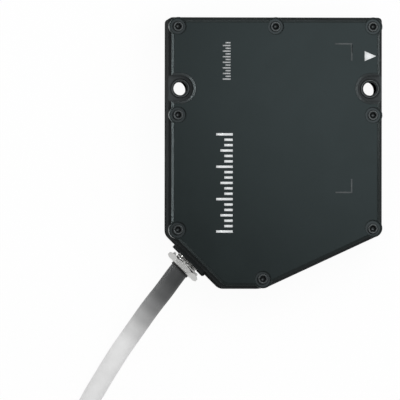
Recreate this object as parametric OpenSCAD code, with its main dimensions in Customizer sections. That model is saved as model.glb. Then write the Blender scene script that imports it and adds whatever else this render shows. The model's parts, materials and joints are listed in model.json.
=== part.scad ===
// Laser displacement sensor head: a flat cast case with a screwed cover, a triangulation
// optical train inside, and a short lead with an inline plug. Millimetres, lying on its back.

/* [Case] */
// Width of the case, across the measuring face
case_w = 76.5; // [74:0.5:90]
// Length of the case, along the measuring face
case_l = 97; // [94:0.5:112]
// Depth of the case without its cover
case_h = 29; // [29:0.5:34]
// Thickness of the back wall
floor_t = 4; // [3.5:0.25:4.5]
// Thickness of the side walls
wall = 7.4; // [7.2:0.1:8]
// Leg of the cut corner that carries the cable gland
cable_corner = 19.5; // [18:0.5:22]
// Run of the sloping lower side
slope_run = 42; // [38:0.5:46]
// Rise of the sloping lower side
slope_rise = 19.5; // [17.5:0.5:21]
// Radius of the upright corners
corner_r = 1.6; // [0.6:0.1:2]
// Chamfer around the back face
back_chamfer = 0.8; // [0.3:0.1:1.2]

/* [Cover] */
// Thickness of the cover
cover_t = 4; // [3.6:0.1:5]
// Step from the case edge in to the cover edge
cover_inset = 0.95; // [0.6:0.05:1.3]
// Chamfer around the front of the cover
cover_chamfer = 0.9; // [0.4:0.1:1.1]
// Distance of the cover screws from the case edges
screw_edge = 3.35; // [3.2:0.05:3.6]
// Distance of the second screw row from the top edge
second_row = 35; // [34.5:0.5:40]
// Thread diameter of the cover screws
screw_d = 2.5; // [2:0.1:2.6]
// Head diameter of the cover screws
screw_head_d = 3.8; // [3.4:0.1:4.2]
// Head height of the cover screws
screw_head_h = 1.3; // [1:0.1:1.6]
// Depth of the locating lip under the cover
lip_h = 1.2; // [0.6:0.1:1.6]
// Width of the cover gasket
gasket_w = 1.2; // [0.8:0.1:1.3]
// Height of the cover gasket
gasket_h = 0.9; // [0.6:0.1:1.2]

/* [Mounting] */
// Distance between the two mounting holes
mount_pitch = 68; // [67:0.5:69]
// Distance of the mounting holes from the top edge
mount_drop = 25.5; // [25:0.5:26]
// Diameter of the mounting holes
mount_d = 4.8; // [4.3:0.1:5]
// Radius of the screw seats around the mounting holes
seat_r = 4.6; // [4.2:0.1:5]
// Length of the mounting holes, under which they widen
mount_grip = 10; // [6:0.5:14]

/* [Optics] */
// Distance from the measuring face to the middle of the range
target_distance = 80; // [76:1:84]
// Distance of the laser axis from the top edge
emission_drop = 13.8; // [13.6:0.1:14.4]
// Height of both optical axes over the back face
axis_z = 15; // [14.8:0.1:15.4]
// Thickness of the optical base plate
base_t = 3; // [2.6:0.1:3.2]
// Diameter of the laser barrel
laser_barrel_d = 10; // [9.4:0.2:10.4]
// Length of the laser barrel
laser_barrel_l = 25; // [22:0.5:26]
// Diameter of the receiver barrel
receiver_barrel_d = 14; // [13.2:0.2:14.4]
// Length of the receiver barrel
receiver_barrel_l = 16; // [15.5:0.5:18]
// Place of the receiver window up the straight measuring face, as a share of it
receiver_share = 0.3427; // [0.33:0.0001:0.356]
// Focal length of the receiver lens
receiver_focal = 22; // [20:0.5:24]
// Thickness of the two windows
glass_t = 1.8; // [1.2:0.1:2]
// Diameter of the laser window
laser_window_d = 10; // [8:0.5:11]
// Length of the receiver window
receiver_window_l = 23.8; // [22:0.2:25]
// Width of the receiver window
receiver_window_w = 18.8; // [17.8:0.2:19.2]

/* [Electronics] */
// Thickness of the circuit boards
board_t = 1.6; // [1:0.1:2]
// Height of the main board over the base plate
standoff_h = 16.2; // [16.2:0.1:16.6]
// Diameter of the indicator light pipes
pipe_d = 2.4; // [1.6:0.1:2.6]

/* [Cable] */
// Height of the gland axis over the back face
gland_z = 16.5; // [15.5:0.25:17]
// Offset of the gland from the middle of the cut corner
gland_offset = 1.46; // [0:0.02:2]
// Height of the pad that the gland sits on
pad_h = 1.45; // [0.8:0.05:1.8]
// Length of the pad along the cut corner
pad_l = 14.9; // [13.6:0.1:16]
// Distance that the gland stands out from the cut corner
gland_out = 5.3; // [5:0.1:5.6]
// Thread diameter of the gland
gland_d = 9; // [8.6:0.1:9.6]
// Width across flats of the gland nut
gland_nut_af = 12.1; // [11.6:0.1:12.8]
// Thickness of the gland nut
gland_nut_t = 2.1; // [1.6:0.1:2.4]
// Diameter of the cable
cable_d = 7; // [6.6:0.1:7]
// Diameter of the plug shell
plug_d = 16; // [14:0.5:16]
// Length of the plug shell
plug_l = 28; // [22:1:32]
// Length of the boot behind the plug
boot_l = 14; // [10:1:16]

/* [Hidden] */
$fn = 48;
clearance = 0.1;
over = 1;
seat_gap = 0.02;
fine_sides = 24;

// Levels and edges that several pieces share
face_x = case_w / 2;
top_y = case_l / 2;
inner_x = face_x - wall;
inner_y = top_y - wall;
front_z = case_h + cover_t;
base_z = floor_t + base_t;
base_gap = 0.4;
board_z = base_z + standoff_h;
board_top = board_z + board_t;

// Outline of the case, from the lower left corner round to the left
corners = [
    [-face_x + cable_corner, -top_y],
    [face_x - slope_run, -top_y],
    [face_x, -top_y + slope_rise],
    [face_x, top_y],
    [-face_x, top_y],
    [-face_x, -top_y + cable_corner]
];
corner_steps = 5;
corner_share = 0.45;

function unit(v) = v / norm(v);
function side_normal(a, b) = let (u = unit(b - a)) [-u.y, u.x];
// Corner points moved in by d, each along the bisector of its two sides
function inset(p, d) = let (n = len(p)) [
    for (i = [0 : n - 1])
        let (m = side_normal(p[(i + n - 1) % n], p[i]), k = side_normal(p[i], p[(i + 1) % n]))
        p[i] + d * (m + k) / (1 + m * k)
];
// Corner points rounded by a short curve that starts a distance r from each corner, and never
// further than a share of the shorter side
function rounded(p, r) = let (n = len(p)) [
    for (i = [0 : n - 1])
        let (
            back = p[(i + n - 1) % n] - p[i], ahead = p[(i + 1) % n] - p[i],
            reach = min(r, corner_share * norm(back), corner_share * norm(ahead)),
            a = p[i] + reach * unit(back), b = p[i] + reach * unit(ahead)
        )
        for (s = [0 : 1 / corner_steps : 1])
            (1 - s) * (1 - s) * a + 2 * s * (1 - s) * p[i] + s * s * b
];
function outline(d) = rounded(inset(corners, d), corner_r);

// Mounting holes and the sealing line that runs inside them
mount_y = top_y - mount_drop;
mounts = [[-mount_pitch / 2, mount_y], [mount_pitch / 2, mount_y]];
seat_face_d = 7.6;
seat_face_depth = 0.4;
mount_relief_d = mount_d + 1.6;
seal_in = 5.2;
seal_land = 1;
lip_w = 1.5;
function seal_r(d) = seat_r + seal_land + d - seal_in;

// Cover screws: one in each corner but the first, one at the top and one pair at the sides
ear_r = screw_edge;
ear_chamfer = 0.4;
counterbore_gap = 0.9;
counterbore_d = screw_head_d + 2 * counterbore_gap;
counterbore_h = screw_head_h + clearance;
screw_corners = inset(corners, screw_edge);
screw_points = concat(
    [for (i = [1 : len(corners) - 1]) screw_corners[i]],
    [[0, top_y - screw_edge]],
    [for (side = [-1, 1]) [side * (face_x - screw_edge), top_y - second_row]]
);
screw_seat_z = front_z - counterbore_h;
screw_grip = 7;
screw_l = screw_seat_z - case_h + screw_grip;
socket_af = 2;

// Optical axes: the laser runs along X, the receiver looks at it through its own window
emission_y = top_y - emission_drop;
receiver_y = -top_y + slope_rise + receiver_share * (case_l - slope_rise);
receive_angle = atan2(emission_y - receiver_y, target_distance);
receive_dir = [-cos(receive_angle), -sin(receive_angle)];
lens_depth = 14.25;
target = [face_x + target_distance, emission_y];
object_l = (target_distance + lens_depth) / cos(receive_angle);
lens_at = target + receive_dir * object_l;
image_l = receiver_focal * object_l / (object_l - receiver_focal);
ccd_at = lens_at + receive_dir * image_l;
// The sensor line, the lens plane and the laser line meet in one point
hinge_x = lens_at.x - (emission_y - lens_at.y) * tan(receive_angle);
ccd_turn = atan2(emission_y - ccd_at.y, hinge_x - ccd_at.x) - 90;
ccd_tilt = receive_angle - ccd_turn;

// Laser train along X
laser_set_back = 36.25;
laser_boss_gap = 32;
laser_x0 = min(face_x - laser_set_back, mount_pitch / 2 - laser_boss_gap);
laser_bore_d = laser_barrel_d - 2;
laser_step_d = laser_bore_d - 1.2;
diode_flange_d = 5.6;
diode_flange_t = 1.2;
diode_cap_d = 4.2;
diode_cap_l = 2.4;
diode_recess = 1.4;
lead_d = 0.45;
lead_r = 1;
lead_l = 6.2;
lead_angles = [90, 210, 330];
diode_wall = 4;
collimator_x = 11;
collimator_t = 3;
collimator_sag = 0.8;
retainer_t = 2;
retainer_w = 0.5;
lens_rim = 0.9;
lens_steps = 8;
aperture_x = 23;
aperture_t = 1;
aperture_d = 3;
holder_x = 4;
holder_l = 12;
holder_margin = 1;
holder_low = emission_y - laser_barrel_d / 2 - holder_margin;
holder_w = min(emission_y + laser_barrel_d / 2 + holder_margin, inner_y - base_gap) - holder_low;
holder_h = axis_z - base_z + laser_barrel_d / 2 + holder_margin;
laser_board_gap = 3.4;

// Receiver train along its own axis, counted from the lens middle towards the sensor
barrel_front = -3.5;
receiver_bore_d = receiver_barrel_d - 2;
receiver_step_d = receiver_bore_d - 1.6;
filter_t = 1.5;
front_lens_t = 3;
rear_lens_t = 2.4;
lens_sag = 0.8;
spacer_t = 1.6;
spacer_w = 0.6;
receiver_step = 9.9;
saddle_from = 1;
saddle_l = 8;
saddle_w = 24;
strap_t = 0.8;
strap_l = 5;
strap_w = 22.5;
strap_screw_at = 9.7;
shroud_w = 15.6;
shroud_h = 15.6;
shroud_t = 0.8;
shroud_gap = 0.8;

// Sensor chip, its board and bracket, across the sensor line
ccd_l = 18;
ccd_w = 8;
ccd_t = 2.5;
ccd_lid_t = 0.6;
ccd_board_l = 22;
ccd_board_h = 14.4;
bracket_t = 2;
bracket_l = 16;
bracket_h = 8;
bracket_foot = 7;
ccd_back = -ccd_t - board_t;
bracket_screw_x = ccd_back - bracket_t - bracket_foot / 2;
ccd_rim = 1;
flex_t = 0.3;
flex_w = 10;
flex_overlap = 6;

// Small screws of the inner pieces
small_d = 2.4;
small_head_d = 4.4;
small_head_h = 1.6;
small_af = 1.6;
fine_d = 2;
fine_head_d = 3.6;
fine_head_h = 1.2;
fine_af = 1.2;
screw_tip_gap = 0.5;

// Board, base and their fixing points
board_gap = 0.8;
base_screw_bite = 2.4;
base_corner = [11, 13];
base_boss = [11, 3];
base_ccd = [9, 20.8];
slope_screw_x = 19;
slope_screw_gap = 3.1;
slope_wall = wall * norm([slope_run, slope_rise]) / slope_run;
base_points = [
    [-inner_x + base_corner.x, inner_y - base_corner.y],
    [inner_x - base_boss.x, mount_y - base_boss.y],
    [-inner_x + base_ccd.x, ccd_at.y + base_ccd.y],
    [
        inner_x - slope_screw_x,
        -top_y + slope_rise * (slope_run - wall - slope_screw_x) / slope_run + slope_wall + slope_screw_gap
    ]
];
standoff_d = 5;
standoff_bore = 6;
standoff_corner = [4.4, 4.6];
standoff_window = [5.4, 8];
standoff_low = 7.1;
standoff_ccd = [4.9, 12.8];
standoff_points = [
    [-inner_x + standoff_corner.x, inner_y - standoff_corner.y],
    [inner_x - standoff_window.x, receiver_y + standoff_window.y],
    [0, -inner_y + standoff_low],
    [-inner_x + standoff_ccd.x, ccd_at.y + standoff_ccd.y]
];
processor_at = [-16, 2];
processor_size = [14, 14, 1.8];
memory_at = [4, 2];
memory_size = [11, 7, 1.2];
memory_step = 9;
can_at = [-4, -24];
can_size = [20, 18, 3];
can_t = 0.4;
led_l = 3;
led_w = 1.8;
led_h = 2;
pipe_lift = 0.2;
pipe_reach = 0.6;
pipe_z = board_top + led_h / 2 + pipe_lift;
pipe_xs = [-14, -7];
flush_recess = 0.2;
window_r = 2;
laser_window_rim = 2;
receiver_window_rim = 1.75;

// Gland, counted outwards from the cut corner
gland_mid = (corners[0] + corners[5]) / 2;
gland_at = gland_mid + gland_offset * unit(corners[5] - corners[0]);
gland_dir = [-sqrt(0.5), -sqrt(0.5), 0];
gland_end = [gland_at.x, gland_at.y, gland_z] + gland_dir * gland_out;
pad_w = 15;
pad_r = 1.5;
gland_inside = 2.4;
locknut_af = 11.2;
locknut_t = 2.2;
gland_bore_d = 5.2;
seal_d = 7;
seal_l = 2.8;
loom_d = 4.8;
header_gap = 0.6;
header_from = wall + gland_inside + header_gap;
header_l = 4;
header_w = 12;
header_drop = 3.4;

// Lead from the gland to the coil: steps across and along from the gland's end, and the share
// of the gland's height that is left over the floor
lead_rest_z = cable_d / 2 + clearance;
lead_steps = [
    [0, 0, 1], [-1.1, -1.3, 1], [-2.9, -3.7, 0.985], [-6.1, -8.1, 0.915], [-8.9, -11.7, 0.822],
    [-11.7, -15.5, 0.698], [-14.3, -19.3, 0.558], [-16.9, -23.1, 0.419], [-19.5, -26.9, 0.295],
    [-22, -30.7, 0.186], [-24.5, -34.7, 0.109], [-26.9, -38.7, 0.054], [-29.3, -42.7, 0.016],
    [-31.7, -46.9, 0], [-34.5, -52.5, 0], [-37.3, -58.9, 0], [-39.7, -65.7, 0],
    [-41.5, -72.9, 0.016], [-42.5, -80.1, 0.039], [-42.9, -87.3, 0.062], [-42.9, -94.5, 0.07]
];
lead_route = [
    for (p = lead_steps)
        [gland_end.x + p.x, gland_end.y + p.y, lead_rest_z + p.z * (gland_z - lead_rest_z)]
];
// Coil: it starts at the end of the lead, runs on one level and climbs onto its own start
coil_r = 42;
coil_start = 180;
coil_low_turn = 315;
coil_climb_from = 270;
coil_turn = 450;
coil_sides = 96;
coil_layer = cable_d + clearance;
coil_at = lead_route[len(lead_route) - 1] + [coil_r, 0, 0];
coil_end = coil_at + [0, -coil_r, coil_layer];
// Tail from the coil to the plug: steps from the coil's end, and the share of the coil's height
// that is left over the plug's axis
tail_steps = [
    [0, 0, 1], [8.9, 0.6, 1.028], [17.6, 2.5, 1.056], [26, 5.5, 1.056], [33.9, 9.7, 1.028],
    [41.1, 15, 0.889], [46, 19.5, 0.694], [50.4, 24.6, 0.444], [54.3, 30.1, 0.222],
    [57.5, 35.9, 0.083], [59.3, 39.6, 0], [60.9, 42.9, 0]
];
tail_route = [
    for (p = tail_steps) [coil_end.x + p.x, coil_end.y + p.y, plug_d / 2 + p.z * (coil_end.z - plug_d / 2)]
];
cable_sides = 12;
tie_angle = 225;
tie_t = 0.9;
tie_w = 4;
tie_head = [6, 5, 4];

// Plug at the end of the tail
plug_last = len(tail_route) - 1;
plug_at = tail_route[plug_last];
plug_dir = unit(tail_route[plug_last] - tail_route[plug_last - 1]);
plug_turn = atan2(plug_dir.y, plug_dir.x);
plug_wall = 1.2;
plug_mouth = 9;
plug_groove = 0.6;
plug_chamfer = 1.5;
plug_bore_d = plug_d - 2 * plug_groove - 2 * plug_wall;
inner_pins = 4;
outer_pins = 8;
inner_pin_ring = 0.14;
outer_pin_ring = 0.35;
pin_d = 1;
pin_l = 6;
pin_recess = 1;
boot_d = 13;
boot_end_d = 8.4;

// Sweep of a round tube along points, with its end faces square to the given directions
function route_dir(p, i, first, last) =
    i == 0 ? first : i == len(p) - 1 ? last : unit(p[i + 1] - p[i - 1]);
function ring(at, dir, r) =
    let (side = unit(cross(dir, [0, 0, 1])), up = cross(side, dir))
    [
        for (k = [0 : cable_sides - 1])
            let (a = 360 * k / cable_sides) at + r * (cos(a) * side + sin(a) * up)
    ];

module tube(route, d, first, last) {
    n = cable_sides;
    rows = len(route);
    points = [for (i = [0 : rows - 1]) each ring(route[i], route_dir(route, i, first, last), d / 2)];
    sides = [
        for (i = [0 : rows - 2], k = [0 : n - 1])
            let (a = i * n + k, b = i * n + (k + 1) % n)
            each [[a, b, b + n], [a, b + n, a + n]]
    ];
    caps = [[for (k = [n - 1 : -1 : 0]) k], [for (k = [0 : n - 1]) (rows - 1) * n + k]];
    polyhedron(points, concat(sides, caps));
}

// Shapes that repeat
module plate(d, h) {
    linear_extrude(h) polygon(outline(d));
}

module inside(d) {
    difference() {
        polygon(outline(d));
        for (p = mounts) translate(p) circle(r = seal_r(d));
    }
}

module round_rect(l, w, r) {
    square([l - 2 * r, w], center = true);
    square([l, w - 2 * r], center = true);
    for (x = [-1, 1], y = [-1, 1])
        translate([x * (l / 2 - r), y * (w / 2 - r)]) circle(r);
}

module hex_prism(af, h) {
    cylinder(d = af / cos(30), h = h, $fn = 6);
}

module ring_solid(outer_d, inner_d, h) {
    difference() {
        cylinder(d = outer_d, h = h);
        translate([0, 0, -over]) cylinder(d = inner_d, h = h + 2 * over);
    }
}

module screw(d, l, head_d, head_h, af) {
    difference() {
        union() {
            translate([0, 0, -l]) cylinder(d = d, h = l + head_h / 2);
            cylinder(d = head_d, h = head_h);
        }
        translate([0, 0, head_h / 2]) hex_prism(af, head_h);
    }
}

// Round lens with a flat rim around one bulged side, from z = 0 at its flat side
module lens(d, t, sag) {
    rotate_extrude() polygon(concat(
        [[0, 0], [d / 2, 0], [d / 2, t - sag]],
        [for (i = [0 : lens_steps]) let (s = 1 - i / lens_steps) [(d / 2 - lens_rim) * s, t - sag * s * s]]
    ));
}

// Places: each puts +Z along the axis that it names
module at_laser(x) {
    translate([laser_x0 + x, emission_y, axis_z]) rotate([0, 90, 0]) children();
}

module at_receiver(s) {
    p = lens_at + receive_dir * s;
    translate([p.x, p.y, axis_z]) rotate([0, 90, receive_angle + 180]) children();
}

// X towards the lens, Y along the sensor line, Z up from the back face
module at_ccd() {
    translate([ccd_at.x, ccd_at.y, 0]) rotate([0, 0, ccd_turn]) children();
}

// X towards the sensor along the receiving axis, Y across it, Z up from the back face
module at_lens() {
    translate([lens_at.x, lens_at.y, 0]) rotate([0, 0, receive_angle + 180]) children();
}

module at_strap_screws(z) {
    at_lens() for (side = [-1, 1])
        translate([saddle_from + saddle_l / 2, side * strap_screw_at, z]) children();
}

module at_bracket_screws(z) {
    at_ccd() for (side = [-1, 1]) translate([bracket_screw_x, side * bracket_l / 4, z]) children();
}

module at_gland(out) {
    translate([gland_at.x, gland_at.y, gland_z]) rotate([0, 90, 225]) translate([0, 0, out]) children();
}

module at_plug(s) {
    translate(plug_at + plug_dir * s) rotate([0, 90, plug_turn]) children();
}

module at_face(y) {
    translate([face_x, y, axis_z]) rotate([0, 90, 0]) children();
}

// Case and cover
module case() {
    color([0.15, 0.165, 0.17]) difference() {
        union() {
            hull() {
                plate(back_chamfer, back_chamfer);
                translate([0, 0, back_chamfer]) plate(0, case_h - back_chamfer);
            }
            at_gland(-over) linear_extrude(pad_h + over) round_rect(pad_w, pad_l, pad_r);
        }
        translate([0, 0, floor_t]) linear_extrude(case_h) inside(wall);
        translate([0, 0, case_h - gasket_h]) linear_extrude(case_h) difference() {
            inside(seal_in);
            inside(seal_in + gasket_w);
        }
        for (p = mounts) translate(p) {
            translate([0, 0, -over]) cylinder(d = mount_d, h = case_h + 2 * over);
            translate([0, 0, -over]) cylinder(d = mount_relief_d, h = case_h - mount_grip + over);
            translate([0, 0, case_h - seat_face_depth]) cylinder(d = seat_face_d, h = case_h);
        }
        for (p = screw_points) translate([p.x, p.y, screw_seat_z - screw_l - over])
            cylinder(d = screw_d + clearance, h = case_h);
        for (p = base_points) translate([p.x, p.y, floor_t - base_screw_bite - clearance])
            cylinder(d = small_d + clearance, h = case_h);
        for (x = pipe_xs) translate([x, inner_y - over, pipe_z]) rotate([-90, 0, 0])
            cylinder(d = pipe_d + clearance, h = wall + 2 * over);
        at_face(emission_y) {
            translate([0, 0, -glass_t - flush_recess])
                cylinder(d = laser_window_d + 2 * clearance, h = wall);
            translate([0, 0, -wall - over])
                cylinder(d = laser_window_d - 2 * laser_window_rim, h = wall);
        }
        at_face(receiver_y) {
            translate([0, 0, -glass_t - flush_recess]) linear_extrude(wall)
                round_rect(receiver_window_w + 2 * clearance, receiver_window_l + 2 * clearance, window_r);
            translate([0, 0, -wall - over]) linear_extrude(wall)
                round_rect(
                    receiver_window_w - 2 * receiver_window_rim,
                    receiver_window_l - 2 * receiver_window_rim, window_r
                );
        }
        at_gland(-wall - over) cylinder(d = gland_d + clearance, h = wall + pad_h + 2 * over);
    }
}

module seat_cut() {
    reach = face_x;
    mouth = seat_r + cover_chamfer;
    edge_z = front_z - cover_chamfer;
    translate([0, 0, case_h - lip_h - over]) cylinder(r = seat_r, h = front_z);
    translate([0, -seat_r, case_h - lip_h - over]) cube([reach, 2 * seat_r, front_z]);
    translate([0, 0, edge_z]) cylinder(r1 = seat_r, r2 = mouth, h = cover_chamfer);
    rotate([90, 0, 90]) linear_extrude(reach)
        polygon([[-seat_r, edge_z], [seat_r, edge_z], [mouth, front_z], [-mouth, front_z]]);
}

module cover() {
    lip_out = wall + 2 * clearance;
    color([0.19, 0.21, 0.215]) difference() {
        union() {
            hull() {
                translate([0, 0, case_h]) plate(cover_inset, cover_t - cover_chamfer);
                translate([0, 0, case_h]) plate(cover_inset + cover_chamfer, cover_t);
            }
            for (p = screw_points) translate([p.x, p.y, case_h]) {
                cylinder(r = ear_r, h = cover_t - ear_chamfer);
                translate([0, 0, cover_t - ear_chamfer])
                    cylinder(r1 = ear_r, r2 = ear_r - ear_chamfer, h = ear_chamfer);
            }
            translate([0, 0, case_h - lip_h]) linear_extrude(lip_h + over) difference() {
                inside(lip_out);
                inside(lip_out + lip_w);
            }
        }
        for (p = mounts) translate(p) mirror([p.x < 0 ? 1 : 0, 0, 0]) seat_cut();
        for (p = screw_points) translate([p.x, p.y, 0]) {
            cylinder(d = screw_d + 4 * clearance, h = front_z + over);
            translate([0, 0, screw_seat_z]) cylinder(d = counterbore_d, h = cover_t);
        }
    }
}

module cover_gasket() {
    color([0.08, 0.08, 0.08]) translate([0, 0, case_h - gasket_h])
        linear_extrude(gasket_h) difference() {
            inside(seal_in + clearance);
            inside(seal_in + gasket_w - clearance);
        }
}

module cover_screws() {
    color([0.25, 0.26, 0.27]) for (p = screw_points) translate([p.x, p.y, screw_seat_z])
        screw(screw_d, screw_l, screw_head_d, screw_head_h, socket_af);
}

// Windows and indicators
module transmitter_glass() {
    color([0.75, 0.85, 0.85]) at_face(emission_y) translate([0, 0, -glass_t - flush_recess])
        cylinder(d = laser_window_d, h = glass_t);
}

module receiver_glass() {
    color([0.3, 0.1, 0.1]) at_face(receiver_y) translate([0, 0, -glass_t - flush_recess])
        linear_extrude(glass_t) round_rect(receiver_window_w, receiver_window_l, window_r - clearance);
}

module light_pipes() {
    color([0.85, 0.9, 0.85]) for (x = pipe_xs)
        translate([x, inner_y - pipe_reach, pipe_z]) rotate([-90, 0, 0])
            cylinder(d = pipe_d, h = wall + pipe_reach - flush_recess);
}

module indicator_leds() {
    color([0.9, 0.9, 0.8]) for (x = pipe_xs)
        translate([x - led_l / 2, inner_y - board_gap - led_w, board_top]) cube([led_l, led_w, led_h]);
}

// Cable gland and the wires behind it
module gland_body() {
    color([0.75, 0.75, 0.74]) difference() {
        at_gland(-wall - gland_inside) cylinder(d = gland_d, h = wall + gland_inside + gland_out);
        at_gland(-wall - gland_inside - over) cylinder(d = gland_bore_d, h = 2 * wall + gland_out);
        at_gland(gland_out - seal_l) cylinder(d = seal_d, h = seal_l + over);
    }
}

module gland_nut() {
    nut_from = gland_out - gland_nut_t - clearance;
    corner = gland_nut_af / 2 / cos(30);
    bevel = gland_nut_t / 4;
    color([0.8, 0.8, 0.79]) difference() {
        at_gland(nut_from) intersection() {
            rotate(30) hex_prism(gland_nut_af, gland_nut_t);
            rotate_extrude() polygon([
                [0, 0], [gland_nut_af / 2, 0], [corner, bevel], [corner, gland_nut_t - bevel],
                [gland_nut_af / 2, gland_nut_t], [0, gland_nut_t]
            ]);
        }
        at_gland(nut_from - over) cylinder(d = gland_d + clearance, h = gland_nut_t + 2 * over);
    }
}

module gland_locknut() {
    color([0.7, 0.7, 0.69]) at_gland(-wall - locknut_t - seat_gap) difference() {
        rotate(30) hex_prism(locknut_af, locknut_t);
        translate([0, 0, -over]) cylinder(d = gland_d + clearance, h = locknut_t + 2 * over);
    }
}

module gland_seal() {
    color([0.1, 0.1, 0.1]) at_gland(gland_out - seal_l)
        ring_solid(seal_d - clearance, loom_d + clearance, seal_l);
}

module wire_loom() {
    color([0.35, 0.35, 0.35]) at_gland(-header_from) cylinder(d = loom_d, h = header_from + gland_out);
}

module wire_header() {
    color([0.9, 0.88, 0.8]) at_gland(-header_from - header_l)
        translate([gland_z - board_z, -header_w / 2, 0])
            cube([board_z - gland_z + header_drop, header_w, header_l]);
}

// Base plate that carries both optical trains
module optical_base() {
    color([0.6, 0.61, 0.62]) difference() {
        translate([0, 0, floor_t]) linear_extrude(base_t) inside(wall + base_gap);
        for (p = base_points) translate(p) cylinder(d = small_d + 4 * clearance, h = case_h);
        at_strap_screws(floor_t - over) cylinder(d = fine_d + clearance, h = case_h);
        at_bracket_screws(floor_t - over) cylinder(d = fine_d + clearance, h = case_h);
    }
}

module base_screws() {
    color([0.4, 0.4, 0.42]) for (p = base_points) translate([p.x, p.y, base_z])
        screw(small_d, base_t + base_screw_bite, small_head_d, small_head_h, small_af);
}

// Laser train
module laser_holder() {
    color([0.5, 0.5, 0.52]) difference() {
        translate([laser_x0 + holder_x, holder_low, base_z]) cube([holder_l, holder_w, holder_h]);
        at_laser(holder_x - over) cylinder(d = laser_barrel_d + clearance, h = holder_l + 2 * over);
    }
}

module laser_barrel() {
    color([0.2, 0.2, 0.22]) difference() {
        at_laser(0) cylinder(d = laser_barrel_d, h = laser_barrel_l);
        at_laser(-over) cylinder(d = diode_flange_d + clearance, h = over + diode_recess);
        at_laser(0) cylinder(d = diode_cap_d + 2 * clearance, h = diode_wall + over);
        at_laser(diode_wall) cylinder(d = laser_step_d, h = laser_barrel_l);
        at_laser(collimator_x) cylinder(d = laser_bore_d, h = laser_barrel_l);
    }
}

module laser_diode() {
    color([0.8, 0.7, 0.4]) {
        at_laser(diode_recess - diode_flange_t) cylinder(d = diode_flange_d, h = diode_flange_t);
        at_laser(diode_recess - clearance) cylinder(d = diode_cap_d, h = diode_cap_l + clearance);
        for (a = lead_angles) at_laser(diode_recess - diode_flange_t - lead_l) rotate(a)
            translate([lead_r, 0, 0]) cylinder(d = lead_d, h = lead_l + clearance, $fn = fine_sides);
    }
}

module laser_board() {
    color([0.1, 0.35, 0.2]) difference() {
        translate([laser_x0 - laser_board_gap - board_t, holder_low, base_z])
            cube([board_t, holder_w, holder_h]);
        for (a = lead_angles) at_laser(-laser_board_gap - board_t - over) rotate(a)
            translate([lead_r, 0, 0])
                cylinder(d = lead_d + clearance, h = board_t + 2 * over, $fn = fine_sides);
    }
}

module collimator_lens() {
    color([0.8, 0.9, 0.95]) at_laser(collimator_x)
        lens(laser_bore_d - clearance, collimator_t, collimator_sag);
}

module lens_retainer() {
    color([0.3, 0.3, 0.3]) at_laser(collimator_x + collimator_t - collimator_sag)
        ring_solid(laser_bore_d - clearance, laser_bore_d - 2 * retainer_w, retainer_t);
}

module beam_aperture() {
    color([0.15, 0.15, 0.15]) at_laser(min(aperture_x, laser_barrel_l - aperture_t))
        ring_solid(laser_bore_d - clearance, aperture_d, aperture_t);
}

// Receiver train
module receiver_saddle() {
    color([0.5, 0.5, 0.52]) difference() {
        at_lens() translate([saddle_from, -saddle_w / 2, base_z])
            cube([saddle_l, saddle_w, axis_z - base_z]);
        at_receiver(saddle_from - over)
            cylinder(d = receiver_barrel_d + clearance, h = saddle_l + 2 * over);
        at_strap_screws(base_z - over) cylinder(d = fine_d + clearance, h = case_h);
    }
}

module receiver_strap() {
    from = saddle_from + (saddle_l - strap_l) / 2;
    outer_d = receiver_barrel_d + clearance + 2 * strap_t;
    color([0.75, 0.75, 0.76]) difference() {
        union() {
            intersection() {
                at_receiver(from) cylinder(d = outer_d, h = strap_l);
                at_lens() translate([from - over, -outer_d, axis_z])
                    cube([strap_l + 2 * over, 2 * outer_d, outer_d]);
            }
            at_lens() translate([from, -strap_w / 2, axis_z]) cube([strap_l, strap_w, strap_t]);
        }
        at_receiver(from - over)
            cylinder(d = receiver_barrel_d + clearance, h = strap_l + 2 * over);
        at_strap_screws(axis_z - over) cylinder(d = fine_d + 2 * clearance, h = strap_t + 2 * over);
    }
}

module strap_screws() {
    color([0.6, 0.6, 0.62]) at_strap_screws(axis_z + strap_t)
        screw(fine_d, strap_t + axis_z - floor_t - screw_tip_gap, fine_head_d, fine_head_h, fine_af);
}

module receiver_barrel() {
    color([0.16, 0.16, 0.18]) difference() {
        at_receiver(barrel_front) cylinder(d = receiver_barrel_d, h = receiver_barrel_l);
        at_receiver(barrel_front - over) cylinder(d = receiver_bore_d, h = receiver_step + over);
        at_receiver(barrel_front) cylinder(d = receiver_step_d, h = receiver_barrel_l + over);
    }
}

// The stack in the barrel, from the inner step back towards the window
rear_lens_s = barrel_front + receiver_step - rear_lens_t - seat_gap;
spacer_s = rear_lens_s - spacer_t + lens_sag;
front_lens_s = spacer_s - front_lens_t;
retainer_s = front_lens_s - retainer_t / 2 + lens_sag;
filter_s = retainer_s - filter_t;

module rear_lens() {
    color([0.75, 0.85, 0.9]) at_receiver(rear_lens_s + rear_lens_t) mirror([0, 0, 1])
        lens(receiver_bore_d - clearance, rear_lens_t, lens_sag);
}

module lens_spacer() {
    color([0.25, 0.25, 0.25]) at_receiver(spacer_s)
        ring_solid(receiver_bore_d - clearance, receiver_bore_d - 2 * spacer_w, spacer_t);
}

module front_lens() {
    color([0.75, 0.85, 0.9]) at_receiver(front_lens_s + front_lens_t) mirror([0, 0, 1])
        lens(receiver_bore_d - clearance, front_lens_t, lens_sag);
}

module receiver_retainer() {
    color([0.25, 0.25, 0.25]) at_receiver(retainer_s)
        ring_solid(receiver_bore_d - clearance, receiver_bore_d - 2 * spacer_w, retainer_t / 2);
}

module bandpass_filter() {
    color([0.5, 0.12, 0.12]) at_receiver(filter_s)
        cylinder(d = receiver_bore_d - clearance, h = filter_t);
}

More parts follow.
